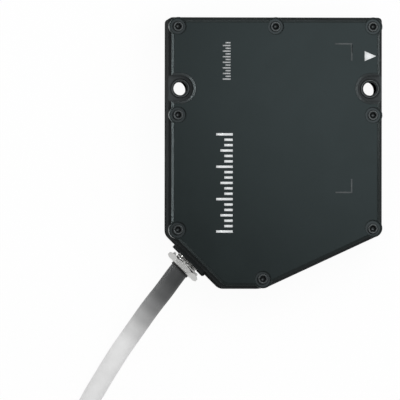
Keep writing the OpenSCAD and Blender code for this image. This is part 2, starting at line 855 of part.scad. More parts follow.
module light_shroud() {
    from = barrel_front + receiver_barrel_l;
    to = image_l - shroud_w / 2 * tan(ccd_tilt) - (ccd_lid_t + shroud_gap) / cos(ccd_tilt);
    shroud_l = to - from;
    color([0.08, 0.08, 0.08]) at_lens() translate([from, 0, base_z]) difference() {
        translate([0, -shroud_w / 2, 0]) cube([shroud_l, shroud_w, shroud_h]);
        translate([-over, -shroud_w / 2 + shroud_t, shroud_t])
            cube([shroud_l + 2 * over, shroud_w - 2 * shroud_t, shroud_h - 2 * shroud_t]);
    }
}

// Image sensor
module ccd_package() {
    color([0.45, 0.4, 0.36]) at_ccd() translate([-ccd_t, -ccd_l / 2, axis_z - ccd_w / 2])
        cube([ccd_t, ccd_l, ccd_w]);
}

module ccd_glass() {
    color([0.7, 0.8, 0.85]) at_ccd() translate([0, -ccd_l / 2 + ccd_rim, axis_z - ccd_w / 2 + ccd_rim])
        cube([ccd_lid_t, ccd_l - 2 * ccd_rim, ccd_w - 2 * ccd_rim]);
}

module ccd_board() {
    color([0.1, 0.35, 0.2]) at_ccd() translate([ccd_back, -ccd_board_l / 2, base_z])
        cube([board_t, ccd_board_l, ccd_board_h]);
}

module ccd_bracket() {
    color([0.7, 0.7, 0.72]) difference() {
        at_ccd() {
            translate([ccd_back - bracket_t, -bracket_l / 2, base_z])
                cube([bracket_t, bracket_l, bracket_h]);
            translate([ccd_back - bracket_t - bracket_foot, -bracket_l / 2, base_z])
                cube([bracket_foot + bracket_t / 2, bracket_l, bracket_t]);
        }
        at_bracket_screws(base_z - over)
            cylinder(d = fine_d + 2 * clearance, h = bracket_t + 2 * over);
    }
}

module bracket_screws() {
    color([0.6, 0.6, 0.62]) at_bracket_screws(base_z + bracket_t)
        screw(fine_d, bracket_t + base_t - screw_tip_gap, fine_head_d, fine_head_h, fine_af);
}

module ccd_flex() {
    from = base_z + ccd_board_h - flex_overlap;
    color([0.75, 0.5, 0.15]) at_ccd() translate([ccd_back - flex_t, -flex_w / 2, from])
        cube([flex_t, flex_w, board_z - from]);
}

// Main board
module main_board() {
    color([0.08, 0.32, 0.18]) difference() {
        translate([0, 0, board_z]) linear_extrude(board_t) inside(wall + board_gap);
        for (p = standoff_points) translate(p) cylinder(d = small_d + 4 * clearance, h = front_z);
    }
}

module board_standoffs() {
    color([0.8, 0.78, 0.6]) for (p = standoff_points) translate([p.x, p.y, base_z]) difference() {
        cylinder(d = standoff_d, h = standoff_h);
        translate([0, 0, standoff_h - standoff_bore])
            cylinder(d = small_d + clearance, h = standoff_bore + over);
    }
}

module board_screws() {
    color([0.6, 0.6, 0.62]) for (p = standoff_points) translate([p.x, p.y, board_top])
        screw(small_d, board_t + standoff_bore - screw_tip_gap, small_head_d, small_head_h, small_af);
}

module processor() {
    color([0.08, 0.08, 0.09]) translate([processor_at.x, processor_at.y, board_top]) cube(processor_size);
}

module memory_chips() {
    color([0.08, 0.08, 0.09]) for (i = [0, 1])
        translate([memory_at.x, memory_at.y + i * memory_step, board_top]) cube(memory_size);
}

module shield_can() {
    color([0.75, 0.75, 0.76]) translate([can_at.x, can_at.y, board_top]) difference() {
        cube(can_size);
        translate([can_t, can_t, -can_t]) cube(can_size - [2 * can_t, 2 * can_t, 0]);
    }
}

// Cable, coil, tie and plug
module cable_lead() {
    color([0.6, 0.6, 0.6]) tube(lead_route, cable_d, gland_dir, [0, -1, 0]);
}

module cable_coil() {
    color([0.8, 0.8, 0.8]) translate(coil_at) {
        rotate(coil_start) rotate_extrude(angle = coil_low_turn, $fn = coil_sides)
            translate([coil_r, 0]) circle(d = cable_d);
        rotate(coil_start + coil_climb_from)
            rotate_extrude(angle = coil_low_turn - coil_climb_from, $fn = coil_sides)
                translate([coil_r - cable_d / 2, 0]) square([cable_d, coil_layer]);
        translate([0, 0, coil_layer]) rotate(coil_start + coil_climb_from)
            rotate_extrude(angle = coil_turn - coil_climb_from, $fn = coil_sides)
                translate([coil_r, 0]) circle(d = cable_d);
    }
}

module cable_tail() {
    color([0.8, 0.8, 0.8]) tube(tail_route, cable_d, [1, 0, 0], plug_dir);
}

module cable_tie() {
    hole_w = cable_d + 4 * clearance;
    hole_h = cable_d + coil_layer + 2 * clearance;
    hole_z = -cable_d / 2 - clearance;
    color([0.1, 0.1, 0.1]) translate(coil_at) rotate(tie_angle) translate([coil_r, 0, 0]) {
        difference() {
            translate([-hole_w / 2 - tie_t, -tie_w / 2, hole_z - tie_t])
                cube([hole_w + 2 * tie_t, tie_w, hole_h + 2 * tie_t]);
            translate([-hole_w / 2, -tie_w, hole_z]) cube([hole_w, 2 * tie_w, hole_h]);
        }
        translate([hole_w / 2 + tie_t - clearance, -tie_head.y / 2, hole_z + hole_h - tie_head.x])
            cube([tie_head.z, tie_head.y, tie_head.x]);
    }
}

module connector_boot() {
    color([0.12, 0.12, 0.12]) at_plug(0) cylinder(d1 = boot_end_d, d2 = boot_d, h = boot_l - clearance);
}

module connector_shell() {
    rim = plug_d / 2 - plug_groove;
    neck = plug_l - plug_mouth;
    color([0.72, 0.72, 0.71]) difference() {
        at_plug(boot_l) rotate_extrude() polygon([
            [0, 0], [boot_d / 2, 0], [plug_d / 2, plug_chamfer], [plug_d / 2, neck - plug_groove],
            [rim, neck], [rim, plug_l], [0, plug_l]
        ]);
        at_plug(boot_l + neck) cylinder(d = plug_bore_d, h = plug_mouth + over);
    }
}

module connector_insert() {
    color([0.1, 0.1, 0.1]) at_plug(boot_l + plug_l - plug_mouth)
        cylinder(d = plug_bore_d - clearance, h = plug_mouth - pin_l - pin_recess - clearance);
}

module pin_circle(count, r) {
    for (i = [1 : count]) rotate(i * 360 / count) translate([r, 0, 0])
        cylinder(d = pin_d, h = pin_l, $fn = fine_sides);
}

module connector_pins() {
    color([0.85, 0.7, 0.3]) at_plug(boot_l + plug_l - pin_l - pin_recess) {
        pin_circle(inner_pins, plug_bore_d * inner_pin_ring);
        pin_circle(outer_pins, plug_bore_d * outer_pin_ring);
    }
}

case();
cover();
cover_gasket();
cover_screws();
transmitter_glass();
receiver_glass();
light_pipes();
gland_body();
gland_nut();
gland_locknut();
gland_seal();
wire_loom();
wire_header();
optical_base();
base_screws();
laser_holder();
laser_barrel();
laser_diode();
laser_board();
collimator_lens();
lens_retainer();
beam_aperture();
receiver_saddle();
receiver_strap();
strap_screws();
receiver_barrel();
bandpass_filter();
front_lens();
lens_spacer();
rear_lens();
receiver_retainer();
light_shroud();
ccd_package();
ccd_glass();
ccd_board();
ccd_bracket();
bracket_screws();
ccd_flex();
main_board();
board_standoffs();
board_screws();
processor();
memory_chips();
shield_can();
indicator_leds();
cable_lead();
cable_coil();
cable_tail();
cable_tie();
connector_boot();
connector_shell();
connector_insert();
connector_pins();
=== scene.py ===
"""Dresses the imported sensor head: cable, prints, screws, gland, plug, finishes and stage."""

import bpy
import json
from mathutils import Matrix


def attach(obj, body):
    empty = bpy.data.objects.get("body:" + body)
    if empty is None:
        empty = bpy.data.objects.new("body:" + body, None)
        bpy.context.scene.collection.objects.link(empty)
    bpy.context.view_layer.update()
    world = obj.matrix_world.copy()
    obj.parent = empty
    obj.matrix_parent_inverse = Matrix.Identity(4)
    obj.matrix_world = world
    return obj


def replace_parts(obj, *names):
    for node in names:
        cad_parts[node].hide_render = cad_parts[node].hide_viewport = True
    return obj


bl_info = {
    "name": "Laser displacement sensor",
    "version": (1, 0, 0),
    "blender": (4, 5, 0),
    "location": "View3D > Sidebar > Sensor",
    "description": "Builds the cable, prints, screws, gland, plug and finishes over the sensor's frame",
    "category": "Add Mesh",
}

import json
import math

import bmesh
import bpy
import numpy as np
from bpy.props import FloatProperty, FloatVectorProperty, IntProperty, PointerProperty
from mathutils import Matrix

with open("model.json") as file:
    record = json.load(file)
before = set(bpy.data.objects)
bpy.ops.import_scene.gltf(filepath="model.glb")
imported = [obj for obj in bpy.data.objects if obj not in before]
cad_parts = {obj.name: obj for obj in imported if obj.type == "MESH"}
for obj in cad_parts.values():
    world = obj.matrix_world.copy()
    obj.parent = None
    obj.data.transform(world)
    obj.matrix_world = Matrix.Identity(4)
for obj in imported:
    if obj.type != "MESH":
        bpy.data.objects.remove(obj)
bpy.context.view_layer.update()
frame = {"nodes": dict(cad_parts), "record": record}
BODY = "root"
MM = 0.001
UP = np.array([0.0, 0.0, 1.0])
WHITE = (1.0, 1.0, 1.0, 1.0)

# Meshes: distances in metres at which points merge and slivers go, and steps between a path's points
MERGE_WITHIN = 1e-7
DROP_UNDER = 1e-8
SPAN_STEPS = 16

# Places in the frame, in millimetres and degrees
FRONT_Z = 33.0
GLAND_AT = np.array([-29.53, -37.72, 16.5])
GLAND_DIR = np.array([-math.sqrt(0.5), -math.sqrt(0.5), 0.0])
LEAD_ROUTE = np.array([
    [-33.3, -41.5, 16.5], [-34.4, -42.8, 16.5], [-36.2, -45.2, 16.3], [-39.4, -49.6, 15.4],
    [-42.2, -53.2, 14.2], [-45.0, -57.0, 12.6], [-47.6, -60.8, 10.8], [-50.2, -64.6, 9.0],
    [-52.8, -68.4, 7.4], [-55.3, -72.2, 6.0], [-57.8, -76.2, 5.0], [-60.2, -80.2, 4.3],
    [-62.6, -84.2, 3.8], [-65.0, -88.4, 3.6], [-67.8, -94.0, 3.6], [-70.6, -100.4, 3.6],
    [-73.0, -107.2, 3.6], [-74.8, -114.4, 3.8], [-75.8, -121.6, 4.1], [-76.2, -128.8, 4.4],
])
COIL_AT = np.array([-34.2, -136.0, 4.5])
COIL_R = 42.0
COIL_START = 180.0
COIL_TURN = 450.0
COIL_POINTS = 76
COIL_CLIMB = (270.0, 315.0)
COIL_LAYER = 7.1
TIE_ANGLE = 225.0
TAIL_ROUTE = np.array([
    [-25.3, -177.4, 11.7], [-16.6, -175.5, 11.8], [-8.2, -172.5, 11.8], [-0.3, -168.3, 11.7],
    [6.9, -163.0, 11.2], [11.8, -158.5, 10.5], [16.2, -153.4, 9.6], [20.1, -147.9, 8.8],
    [23.3, -142.1, 8.3], [25.1, -138.4, 8.0], [26.7, -135.1, 8.0],
])
PLUG_AT = TAIL_ROUTE[-1]
PLUG_DIR = (TAIL_ROUTE[-1] - TAIL_ROUTE[-2]) / np.linalg.norm(TAIL_ROUTE[-1] - TAIL_ROUTE[-2])
SCREWS_AT = np.array([
    [-4.49, -45.15], [34.9, -27.11], [34.9, 45.15], [-34.9, 45.15], [-34.9, -27.58],
    [0.0, 45.15], [-34.9, 13.5], [34.9, 13.5],
])
SCREW_SEAT_Z = 31.6
MOUNTS_AT = np.array([[-34.0, 23.0], [34.0, 23.0]])
MOUNT_SEAT_Z = 28.6

# Stage, in metres. All lamps but the key lamp stand lower than the cover's top, so they don't light it
KEY_LAMP = {"at": (0.052, 0.042, 0.303), "to": (0.046, 0.036, 0.0), "size": (0.14, 0.14)}
LEFT_LAMP = {"at": (-0.3, 0.01, 0.018), "to": (-0.037, 0.01, 0.0325), "size": (0.11, 0.026)}
RIGHT_LAMP = {"at": (0.35, 0.045, 0.017), "to": (0.037, 0.045, 0.0325), "size": (0.06, 0.028)}
TOP_LAMP = {"at": (0.025, 0.55, 0.012), "to": (0.0, 0.0, 0.03), "size": (0.25, 0.036)}
FAN_ANGLES = np.radians([-40.0, -20.0, 20.0, 40.0])
FAN_REACH = 0.28
FAN_FROM_Z = 0.018
FAN_TO_Z = 0.0325
FAN_SIZE = (0.1, 0.026)
FLOOR_REACH = 3.0
FLOOR_LINES = 13
FLOOR_Z = -0.0002
# Share of plain white in the floor as it is seen: the rest shows the shadow
FLOOR_WHITE = 0.95
# Width of the camera's film in millimetres, and how far the camera sees in metres
FILM_WIDTH = 36.0
CAMERA_SIGHT = 60.0

# Radii round a mounting hole, in metres, where rubbed paint and its painted light start to fade, and where
# the paint is whole again
RUBBED_AND_LIT_R = (0.0057, 0.0063)
# Share of the way along the jacket's fade, and the share of its pale colour there
JACKET_FADE = ((0.22, 0.06), (0.4, 0.205), (0.58, 0.42), (0.78, 0.73))


# Settings that a user would change
class CableSettings(bpy.types.PropertyGroup):
    """Sizes and colours of the cable"""
    diameter: FloatProperty(
        name="Diameter", description="Outside of the jacket", default=0.007, unit="LENGTH")
    sides: IntProperty(name="Sides", description="Facets around the jacket", default=28, min=8)
    spacing: FloatProperty(
        name="Ring spacing", description="Distance between rings", default=0.0011, unit="LENGTH")
    dark: FloatVectorProperty(
        name="Near the gland", description="Jacket colour where it leaves the gland",
        default=(0.044, 0.046, 0.047), subtype="COLOR")
    pale: FloatVectorProperty(
        name="Far end", description="Jacket colour along the rest of the cable",
        default=(0.81, 0.81, 0.81), subtype="COLOR")
    fade_from: FloatProperty(
        name="Fade from", description="Length at which the jacket starts to pale",
        default=0.004, unit="LENGTH")
    fade_to: FloatProperty(
        name="Fade to", description="Length at which the jacket is pale", default=0.034, unit="LENGTH")


class PaintSettings(bpy.types.PropertyGroup):
    """Satin paint of the case and its cover"""
    case: FloatVectorProperty(
        name="Case", description="Paint colour of the case",
        default=(0.0165, 0.0176, 0.0178), subtype="COLOR")
    cover: FloatVectorProperty(
        name="Cover", description="Paint colour of the cover",
        default=(0.0086, 0.0113, 0.0109), subtype="COLOR")
    # The dust colour, its height and its shares also paint light on level faces under the cover's top: a
    # painted sheen where they look up, and painted light in the shade of recesses
    dust_and_light: FloatVectorProperty(
        name="Dust and light", description="Colour of dusty ledges and of rubbed paint round the mounting holes",
        default=(0.054, 0.06, 0.062), subtype="COLOR")
    dust_and_light_height: FloatProperty(
        name="Dust height", description="Height under which dust lies", default=0.03297, unit="LENGTH")
    case_dust_and_light: FloatProperty(
        name="Dust on the case", description="Share of dust on the case's ledges", default=0.42)
    cover_dust_and_light: FloatProperty(
        name="Dust on the cover", description="Share of dust on the cover's ledges", default=0.8)
    worn: FloatVectorProperty(
        name="Edges", description="Colour of rubbed edges", default=(0.03, 0.033, 0.034), subtype="COLOR")
    grain: FloatProperty(
        name="Grain", description="Grains per metre of the paint's texture", default=2600.0)
    case_edge: FloatProperty(
        name="Case edges", description="Radius of the case's painted edges",
        default=0.00022, unit="LENGTH")
    cover_edge: FloatProperty(
        name="Cover edges", description="Radius of the cover's painted edges",
        default=0.000352, unit="LENGTH")


class PrintSettings(bpy.types.PropertyGroup):
    """Marks printed on the cover"""
    white: FloatVectorProperty(
        name="White ink", description="Ink of the arrow and the long scale",
        default=(0.72, 0.74, 0.75), subtype="COLOR")
    grey: FloatVectorProperty(
        name="Grey ink", description="Ink of the corner marks", default=(0.07, 0.078, 0.08), subtype="COLOR")
    fade: FloatProperty(
        name="Fine scale", description="Share of the white ink in the fine scale", default=0.55)
    line: FloatProperty(
        name="Line width", description="Width of the corner marks", default=0.0005, unit="LENGTH")
    film: FloatProperty(
        name="Film", description="Thickness of the ink", default=0.00002, unit="LENGTH")


class GlandSettings(bpy.types.PropertyGroup):
    """Threaded gland and its washer"""
    pitch: FloatProperty(name="Pitch", description="Thread pitch", default=0.0008, unit="LENGTH")
    depth: FloatProperty(name="Depth", description="Thread depth", default=0.0004, unit="LENGTH")
    teeth: IntProperty(name="Teeth", description="Teeth of the lock washer", default=12, min=6)


class ScrewSettings(bpy.types.PropertyGroup):
    """Cover screws"""
    head_d: FloatProperty(name="Head", description="Head diameter", default=0.0038, unit="LENGTH")
    head_h: FloatProperty(name="Height", description="Head height", default=0.0013, unit="LENGTH")
    shank: FloatProperty(
        name="Shank", description="Length under the head", default=0.0094, unit="LENGTH")
    socket: FloatProperty(
        name="Socket", description="Width across the socket's flats", default=0.002, unit="LENGTH")
    deep: FloatProperty(
        name="Socket depth", description="Depth of the socket", default=0.0015, unit="LENGTH")
    edge: FloatProperty(name="Edge", description="Round of the head's rim", default=0.0003, unit="LENGTH")


class RingSettings(bpy.types.PropertyGroup):
    """Raised rings round the mounting holes"""
    inner_r: FloatProperty(
        name="Inner radius", description="Foot of the ring's inner slope", default=0.0026, unit="LENGTH")
    outer_r: FloatProperty(
        name="Outer radius", description="Foot of the ring's outer slope", default=0.0035, unit="LENGTH")
    high: FloatProperty(
        name="Height", description="Height over the seat", default=0.00028, unit="LENGTH")


class PlugSettings(bpy.types.PropertyGroup):
    """Inline plug and its boot"""
    ribs: IntProperty(name="Boot grooves", description="Grooves around the boot", default=6, min=2)
    knurls: IntProperty(name="Knurls", description="Ridges around the plug's grip", default=48, min=12)
    knurl_depth: FloatProperty(
        name="Knurl depth", description="Depth of the grip's ridges", default=0.00035, unit="LENGTH")


class StageSettings(bpy.types.PropertyGroup):
    """Camera, lamps and floor"""
    distance: FloatProperty(
        name="Camera distance", description="From the cover to the camera", default=4.0, unit="LENGTH")
    field: FloatProperty(
        name="Field", description="Width that the camera sees at the cover", default=0.143, unit="LENGTH")
    aside: FloatVectorProperty(
        name="Aside", description="Move of the picture's middle from the cover's middle",
        default=(-0.0270692, -0.0169011), size=2, unit="LENGTH")
    turn: FloatVectorProperty(
        name="Turn", description="Pitch, yaw and roll of the camera around the cover",
        default=(math.radians(-0.78565), math.radians(2.913356), math.radians(-0.056985)), size=3,
        subtype="EULER")
    floor: FloatVectorProperty(
        name="Floor", description="Colour of the floor", default=(0.92, 0.92, 0.92), subtype="COLOR")
    sky: FloatProperty(name="Sky", description="Light from all around", default=0.7)
    key: FloatProperty(name="Key", description="Power of the key lamp", default=0.365, unit="POWER")
    left: FloatProperty(name="Left", description="Power of the left lamp", default=0.0075, unit="POWER")
    seat: FloatProperty(
        name="Left seat", description="Power of each lamp in the fan on the left seat",
        default=0.005, unit="POWER")
    dimmer: FloatProperty(
        name="Right seat", description="Share of that power in each lamp of the fan on the right seat",
        default=0.25)
    right: FloatProperty(name="Right", description="Power of the right lamp", default=0.0014, unit="POWER")
    top: FloatProperty(
        name="Top", description="Power of the lamp beyond the top side", default=0.2, unit="POWER")
    beam: FloatProperty(
        name="Beam", description="Angle of the beam that a grid leaves the side lamps",
        default=math.radians(20.0), subtype="ANGLE")


# Surfaces
def grid_mesh(name, points, wrap_u=False, wrap_v=False, uv=None, sharp=40.0):
    """Mesh of one or more grids. points has the shape (copies, u, v, 3): cell (i, j) becomes the quad
    (i, j), (i+1, j), (i+1, j+1), (i, j+1), and wrap closes a direction on itself. Equal points are
    merged, so a pole or a seam is closed. uv has the shape (copies, u, v, 2)."""
    points = np.asarray(points, dtype=np.float64)
    if points.ndim == 3:
        points = points[None]
        uv = None if uv is None else uv[None]
    copies, nu, nv, _ = points.shape
    index = np.arange(copies * nu * nv).reshape(copies, nu, nv)
    if wrap_u:
        index = np.concatenate([index, index[:, :1]], axis=1)
    if wrap_v:
        index = np.concatenate([index, index[:, :, :1]], axis=2)
    corners = [index[:, :-1, :-1], index[:, 1:, :-1], index[:, 1:, 1:], index[:, :-1, 1:]]
    quads = np.stack(corners, axis=-1).reshape(-1, 4)
    mesh = bpy.data.meshes.new(name)
    mesh.vertices.add(copies * nu * nv)
    mesh.vertices.foreach_set("co", points.reshape(-1))
    mesh.loops.add(quads.size)
    mesh.loops.foreach_set("vertex_index", quads.reshape(-1))
    mesh.polygons.add(len(quads))
    mesh.polygons.foreach_set("loop_start", np.arange(0, quads.size, 4))
    mesh.update(calc_edges=True)
    if uv is not None:
        layer = mesh.uv_layers.new(name="along")
        layer.data.foreach_set("uv", uv.reshape(-1, 2)[quads.reshape(-1)].reshape(-1))
    shape = bmesh.new()
    shape.from_mesh(mesh)
    bmesh.ops.remove_doubles(shape, verts=shape.verts, dist=MERGE_WITHIN)
    bmesh.ops.dissolve_degenerate(shape, edges=shape.edges, dist=DROP_UNDER)
    bmesh.ops.recalc_face_normals(shape, faces=shape.faces)
    shape.to_mesh(mesh)
    shape.free()
    mesh.shade_smooth()
    mesh.set_sharp_from_angle(angle=math.radians(sharp))
    piece = bpy.data.objects.new(name, mesh)
    bpy.context.collection.objects.link(piece)
    return piece


def axes_of(direction):
    """Two unit vectors square to a direction and to each other: across it level with the floor, and up."""
    across = np.cross(direction, UP)
    across /= np.linalg.norm(across)
    return across, np.cross(across, direction)


def around(count):
    """Angles of a full circle, without the last that would repeat the first."""
    return np.linspace(0.0, 2.0 * math.pi, count, endpoint=False)


def squared(wave, power):
    """A sine or cosine to a power, with its sign kept: under 1 it squares off what was round."""
    return np.sign(wave) * np.abs(wave)**power


def even(first, last, count, radius):
    """Profile points (along, radius), evenly from first to last at one radius."""
    return np.stack([np.linspace(first, last, count), np.full(count, radius)], axis=1)


def turned(at, direction, along, radius, angles):
    """Surface of points at + along * direction + radius * (cos a * across + sin a * up), in metres.
    along and radius are arrays over the profile, or over (angle, profile), in millimetres."""
    across, up = axes_of(direction)
    along, radius = np.atleast_2d(along), np.atleast_2d(radius)
    ring = np.cos(angles)[:, None, None] * across + np.sin(angles)[:, None, None] * up
    return (at + along[..., None] * direction + radius[..., None] * ring) * MM


def stood(places, seat, z, radius, angles):
    """Upright turned surfaces of points place + (radius * cos a, radius * sin a, seat + z), in metres, one
    for each place. z and radius are arrays over the profile, or over (angle, profile), in millimetres."""
    x = radius * np.cos(angles)[:, None]
    y = radius * np.sin(angles)[:, None]
    one = np.stack(np.broadcast_arrays(x, y, z), axis=-1)
    return (np.insert(places, 2, seat, axis=1)[:, None, None] + one) * MM


def smooth_path(points, spacing):
    """Catmull-Rom curve through points, then laid out again at an even spacing along its length."""
    ends = np.concatenate([[2 * points[0] - points[1]], points, [2 * points[-1] - points[-2]]])
    a, b, c, d = (x[:, None, :] for x in (ends[:-3], ends[1:-2], ends[2:-1], ends[3:]))
    t = np.linspace(0.0, 1.0, SPAN_STEPS, endpoint=False)[None, :, None]
    curve = 0.5 * (
        2 * b + (c - a) * t + (2 * a - 5 * b + 4 * c - d) * t**2 + (3 * b - a - 3 * c + d) * t**3)
    curve = np.concatenate([curve.reshape(-1, 3), points[-1:]])
    run = np.concatenate([[0.0], np.cumsum(np.linalg.norm(np.diff(curve, axis=0), axis=1))])
    steps = np.linspace(0.0, run[-1], int(round(run[-1] / spacing)) + 1)
    return np.stack([np.interp(steps, run, curve[:, k]) for k in range(3)], axis=1), steps


def cable_path(spacing):
    """Lead, coil and tail as one curve: the coil is a circle whose height eases up by one layer between
    the two angles of its climb, and stays there."""
    turn = np.linspace(0.0, COIL_TURN, COIL_POINTS)
    angle = np.radians(COIL_START + turn)
    ease = np.clip((turn - COIL_CLIMB[0]) / (COIL_CLIMB[1] - COIL_CLIMB[0]), 0.0, 1.0)
    height = COIL_LAYER * ease * ease * (3.0 - 2.0 * ease)
    coil = COIL_AT + np.stack([COIL_R * np.cos(angle), COIL_R * np.sin(angle), height], axis=1)
    return smooth_path(np.concatenate([LEAD_ROUTE, coil, TAIL_ROUTE]), spacing / MM)


# Node tools
def feed(tree, node, sockets):
    """Inputs of a node, by name or number, take values or links."""
    for key, value in sockets.items():
        if isinstance(value, bpy.types.NodeSocket):
            tree.links.new(value, node.inputs[key])
        else:
            node.inputs[key].default_value = value


def put(tree, kind, settings, sockets):
    """One node: settings go on the node itself, and sockets on its inputs."""
    node = tree.nodes.new(kind)
    for key, value in settings.items():
        setattr(node, key, value)
    feed(tree, node, sockets)
    return node


def math_node(tree, operation, *values):
    """Output of a Math node on values or links."""
    return put(tree, "ShaderNodeMath", {"operation": operation}, dict(enumerate(values))).outputs[0]


def times(tree, first, second):
    """Product of two values or links."""
    return math_node(tree, "MULTIPLY", first, second)


def mixed(tree, factor, first, second):
    """Colour between two, by a factor. Inputs 6 and 7 and output 2 of a Mix node are its colours."""
    sockets = {0: factor, 6: first, 7: second}
    return put(tree, "ShaderNodeMix", {"data_type": "RGBA"}, sockets).outputs[2]


def rgba(colour, share=1.0, lift=0.0):
    """Colour times a share, plus a lift, held at 1, with full alpha."""
    return (*(min(1.0, part * share + lift) for part in colour), 1.0)


def toned(tree, factor, colour, low, high):
    """Colour between two shares of itself, by a factor."""
    return mixed(tree, factor, rgba(colour, low), rgba(colour, high))


def ranged(tree, value, low, high, to_low=0.0, to_high=1.0, ease="SMOOTHSTEP"):
    """Value moved from one range to another and held at its ends, as a Map Range node's inputs in order."""
    sockets = {0: value, 1: low, 2: high, 3: to_low, 4: to_high}
    return put(tree, "ShaderNodeMapRange", {"interpolation_type": ease}, sockets).outputs[0]


def between(tree, share, low, high):
    """Value between two, by a share that runs from 0 to 1."""
    return ranged(tree, share, 0.0, 1.0, low, high)


def noise(tree, where, scale, detail, rough):
    """Value of a noise texture."""
    sockets = {"Vector": where, "Scale": scale, "Detail": detail, "Roughness": rough}
    return put(tree, "ShaderNodeTexNoise", {}, sockets).outputs[0]


def parts_of(tree, vector):
    """The three parts of a vector."""
    return put(tree, "ShaderNodeSeparateXYZ", {}, {0: vector}).outputs


def bump(tree, height, depth, strength, **normal):
    """Normal from a height, on top of a rounded Normal if one is given."""
    sockets = {"Strength": strength, "Distance": depth, "Height": height, **normal}
    return put(tree, "ShaderNodeBump", {}, sockets).outputs[0]


# Effects that several materials share
def new_group(name, inputs, outputs):
    """Empty shader node group, with its input and output nodes. A socket's starting value is a number,
    or three for a vector."""
    tree = bpy.data.node_groups.new(name, "ShaderNodeTree")
    for side, sockets in (("INPUT", inputs), ("OUTPUT", outputs)):
        for label, value in sockets.items():
            kind = "NodeSocketFloat" if isinstance(value, float) else "NodeSocketVector"
            tree.interface.new_socket(label, in_out=side, socket_type=kind).default_value = value
    return tree, tree.nodes.new("NodeGroupInput").outputs, tree.nodes.new("NodeGroupOutput")


def grain_group(name):
    """Fine moulded or painted grain: a patchy tint, a roughness and a height from noise of two sizes."""
    tree, given, result = new_group(
        name, {"Vector": (0.0, 0.0, 0.0), "Scale": 2000.0, "Patch": 60.0},
        {"Tint": 0.0, "Rough": 0.0, "Height": 0.0})
    fine = noise(tree, given["Vector"], given["Scale"], 2.0, 0.55)
    patch = noise(tree, given["Vector"], given["Patch"], 3.0, 0.6)
    tint = math_node(tree, "ADD", times(tree, fine, 0.45), times(tree, patch, 0.55))
    feed(tree, result, {
        "Tint": ranged(tree, tint, 0.3, 0.7), "Rough": ranged(tree, patch, 0.3, 0.7), "Height": fine})
    return tree


def edge_group(name):
    """Rounded edges: a normal that turns round each edge, and a mask of where it leaves the flat's own."""
    tree, given, result = new_group(name, {"Radius": 0.0002}, {"Edge": 0.0, "Normal": (0.0, 0.0, 0.0)})
    bevel = put(tree, "ShaderNodeBevel", {"samples": 6}, {"Radius": given["Radius"]}).outputs[0]
    flat = put(tree, "ShaderNodeNewGeometry", {}, {}).outputs["Normal"]
    same = put(tree, "ShaderNodeVectorMath", {"operation": "DOT_PRODUCT"}, {0: bevel, 1: flat})
    away = math_node(tree, "SUBTRACT", 1.0, same.outputs["Value"])
    feed(tree, result, {"Edge": ranged(tree, away, 0.01, 0.25), "Normal": bevel})
    return tree


def streak_group(name):
    """Brushed or turned metal: long thin noise, as a streak value and a height."""
    tree, given, result = new_group(
        name, {"Vector": (0.0, 0.0, 0.0), "Stretch": (300.0, 8000.0, 8000.0)},
        {"Streak": 0.0, "Height": 0.0})
    long = put(tree, "ShaderNodeVectorMath", {"operation": "MULTIPLY"},
               {0: given["Vector"], 1: given["Stretch"]}).outputs[0]
    lines = noise(tree, long, 1.0, 3.0, 0.65)
    feed(tree, result, {"Streak": ranged(tree, lines, 0.3, 0.7), "Height": lines})
    return tree


def dust_and_light_group(name):
    """Mask of pale dust and painted light under a height: a share of it on level faces, and up to all of it
    round the mounting holes, where screw heads rub, the more a face looks up. Its lift on faces that look
    up is also a painted sheen, and in recesses it is painted light against their shade."""
    tree, given, result = new_group(
        name, {"Vector": (0.0, 0.0, 0.0), "Height": 0.03, "Share": 0.5}, {"Dust and light": 0.0})
    rise = parts_of(tree, put(tree, "ShaderNodeNewGeometry", {}, {}).outputs["Normal"])[2]
    x, y, z = parts_of(tree, given["Vector"])
    hole_x, hole_y = MOUNTS_AT[1] * MM
    off = put(tree, "ShaderNodeCombineXYZ", {}, {
        0: math_node(tree, "SUBTRACT", math_node(tree, "ABSOLUTE", x), hole_x),
        1: math_node(tree, "SUBTRACT", y, hole_y)}).outputs[0]
    far = put(tree, "ShaderNodeVectorMath", {"operation": "LENGTH"}, {0: off}).outputs["Value"]
    # Round the holes this is rubbed paint and painted light; on level faces it is dust and painted sheen
    rubbed = times(tree, ranged(tree, far, *RUBBED_AND_LIT_R, 1.0, 0.0), ranged(tree, rise, 0.4, 0.95))
    level = times(tree, ranged(tree, rise, 0.85, 0.98), given["Share"])
    deep = math_node(tree, "LESS_THAN", z, given["Height"])
    feed(tree, result, {"Dust and light": times(tree, deep, math_node(tree, "MAXIMUM", rubbed, level))})
    return tree


GROUPS = {
    "fine grain": grain_group, "rounded edge": edge_group, "brushed streaks": streak_group,
    "dust and painted light": dust_and_light_group,
}


def use(tree, name, sockets):
    """Outputs of a node group placed in a material with its own values. The first use makes the group."""
    group = bpy.data.node_groups.get(name) or GROUPS[name](name)
    return put(tree, "ShaderNodeGroup", {"node_tree": group}, sockets).outputs


# Materials
def blank(name):
    """New material with one Principled shader, and its tree and object coordinates."""
    material = bpy.data.materials.new(name)
    material.use_nodes = True
    tree = material.node_tree
    where = put(tree, "ShaderNodeTexCoord", {}, {}).outputs["Object"]
    return material, tree, tree.nodes["Principled BSDF"], where


def give(piece, material):
    """The piece or CAD node wears one material."""
    piece.data.materials.clear()
    piece.data.materials.append(material)
    return piece


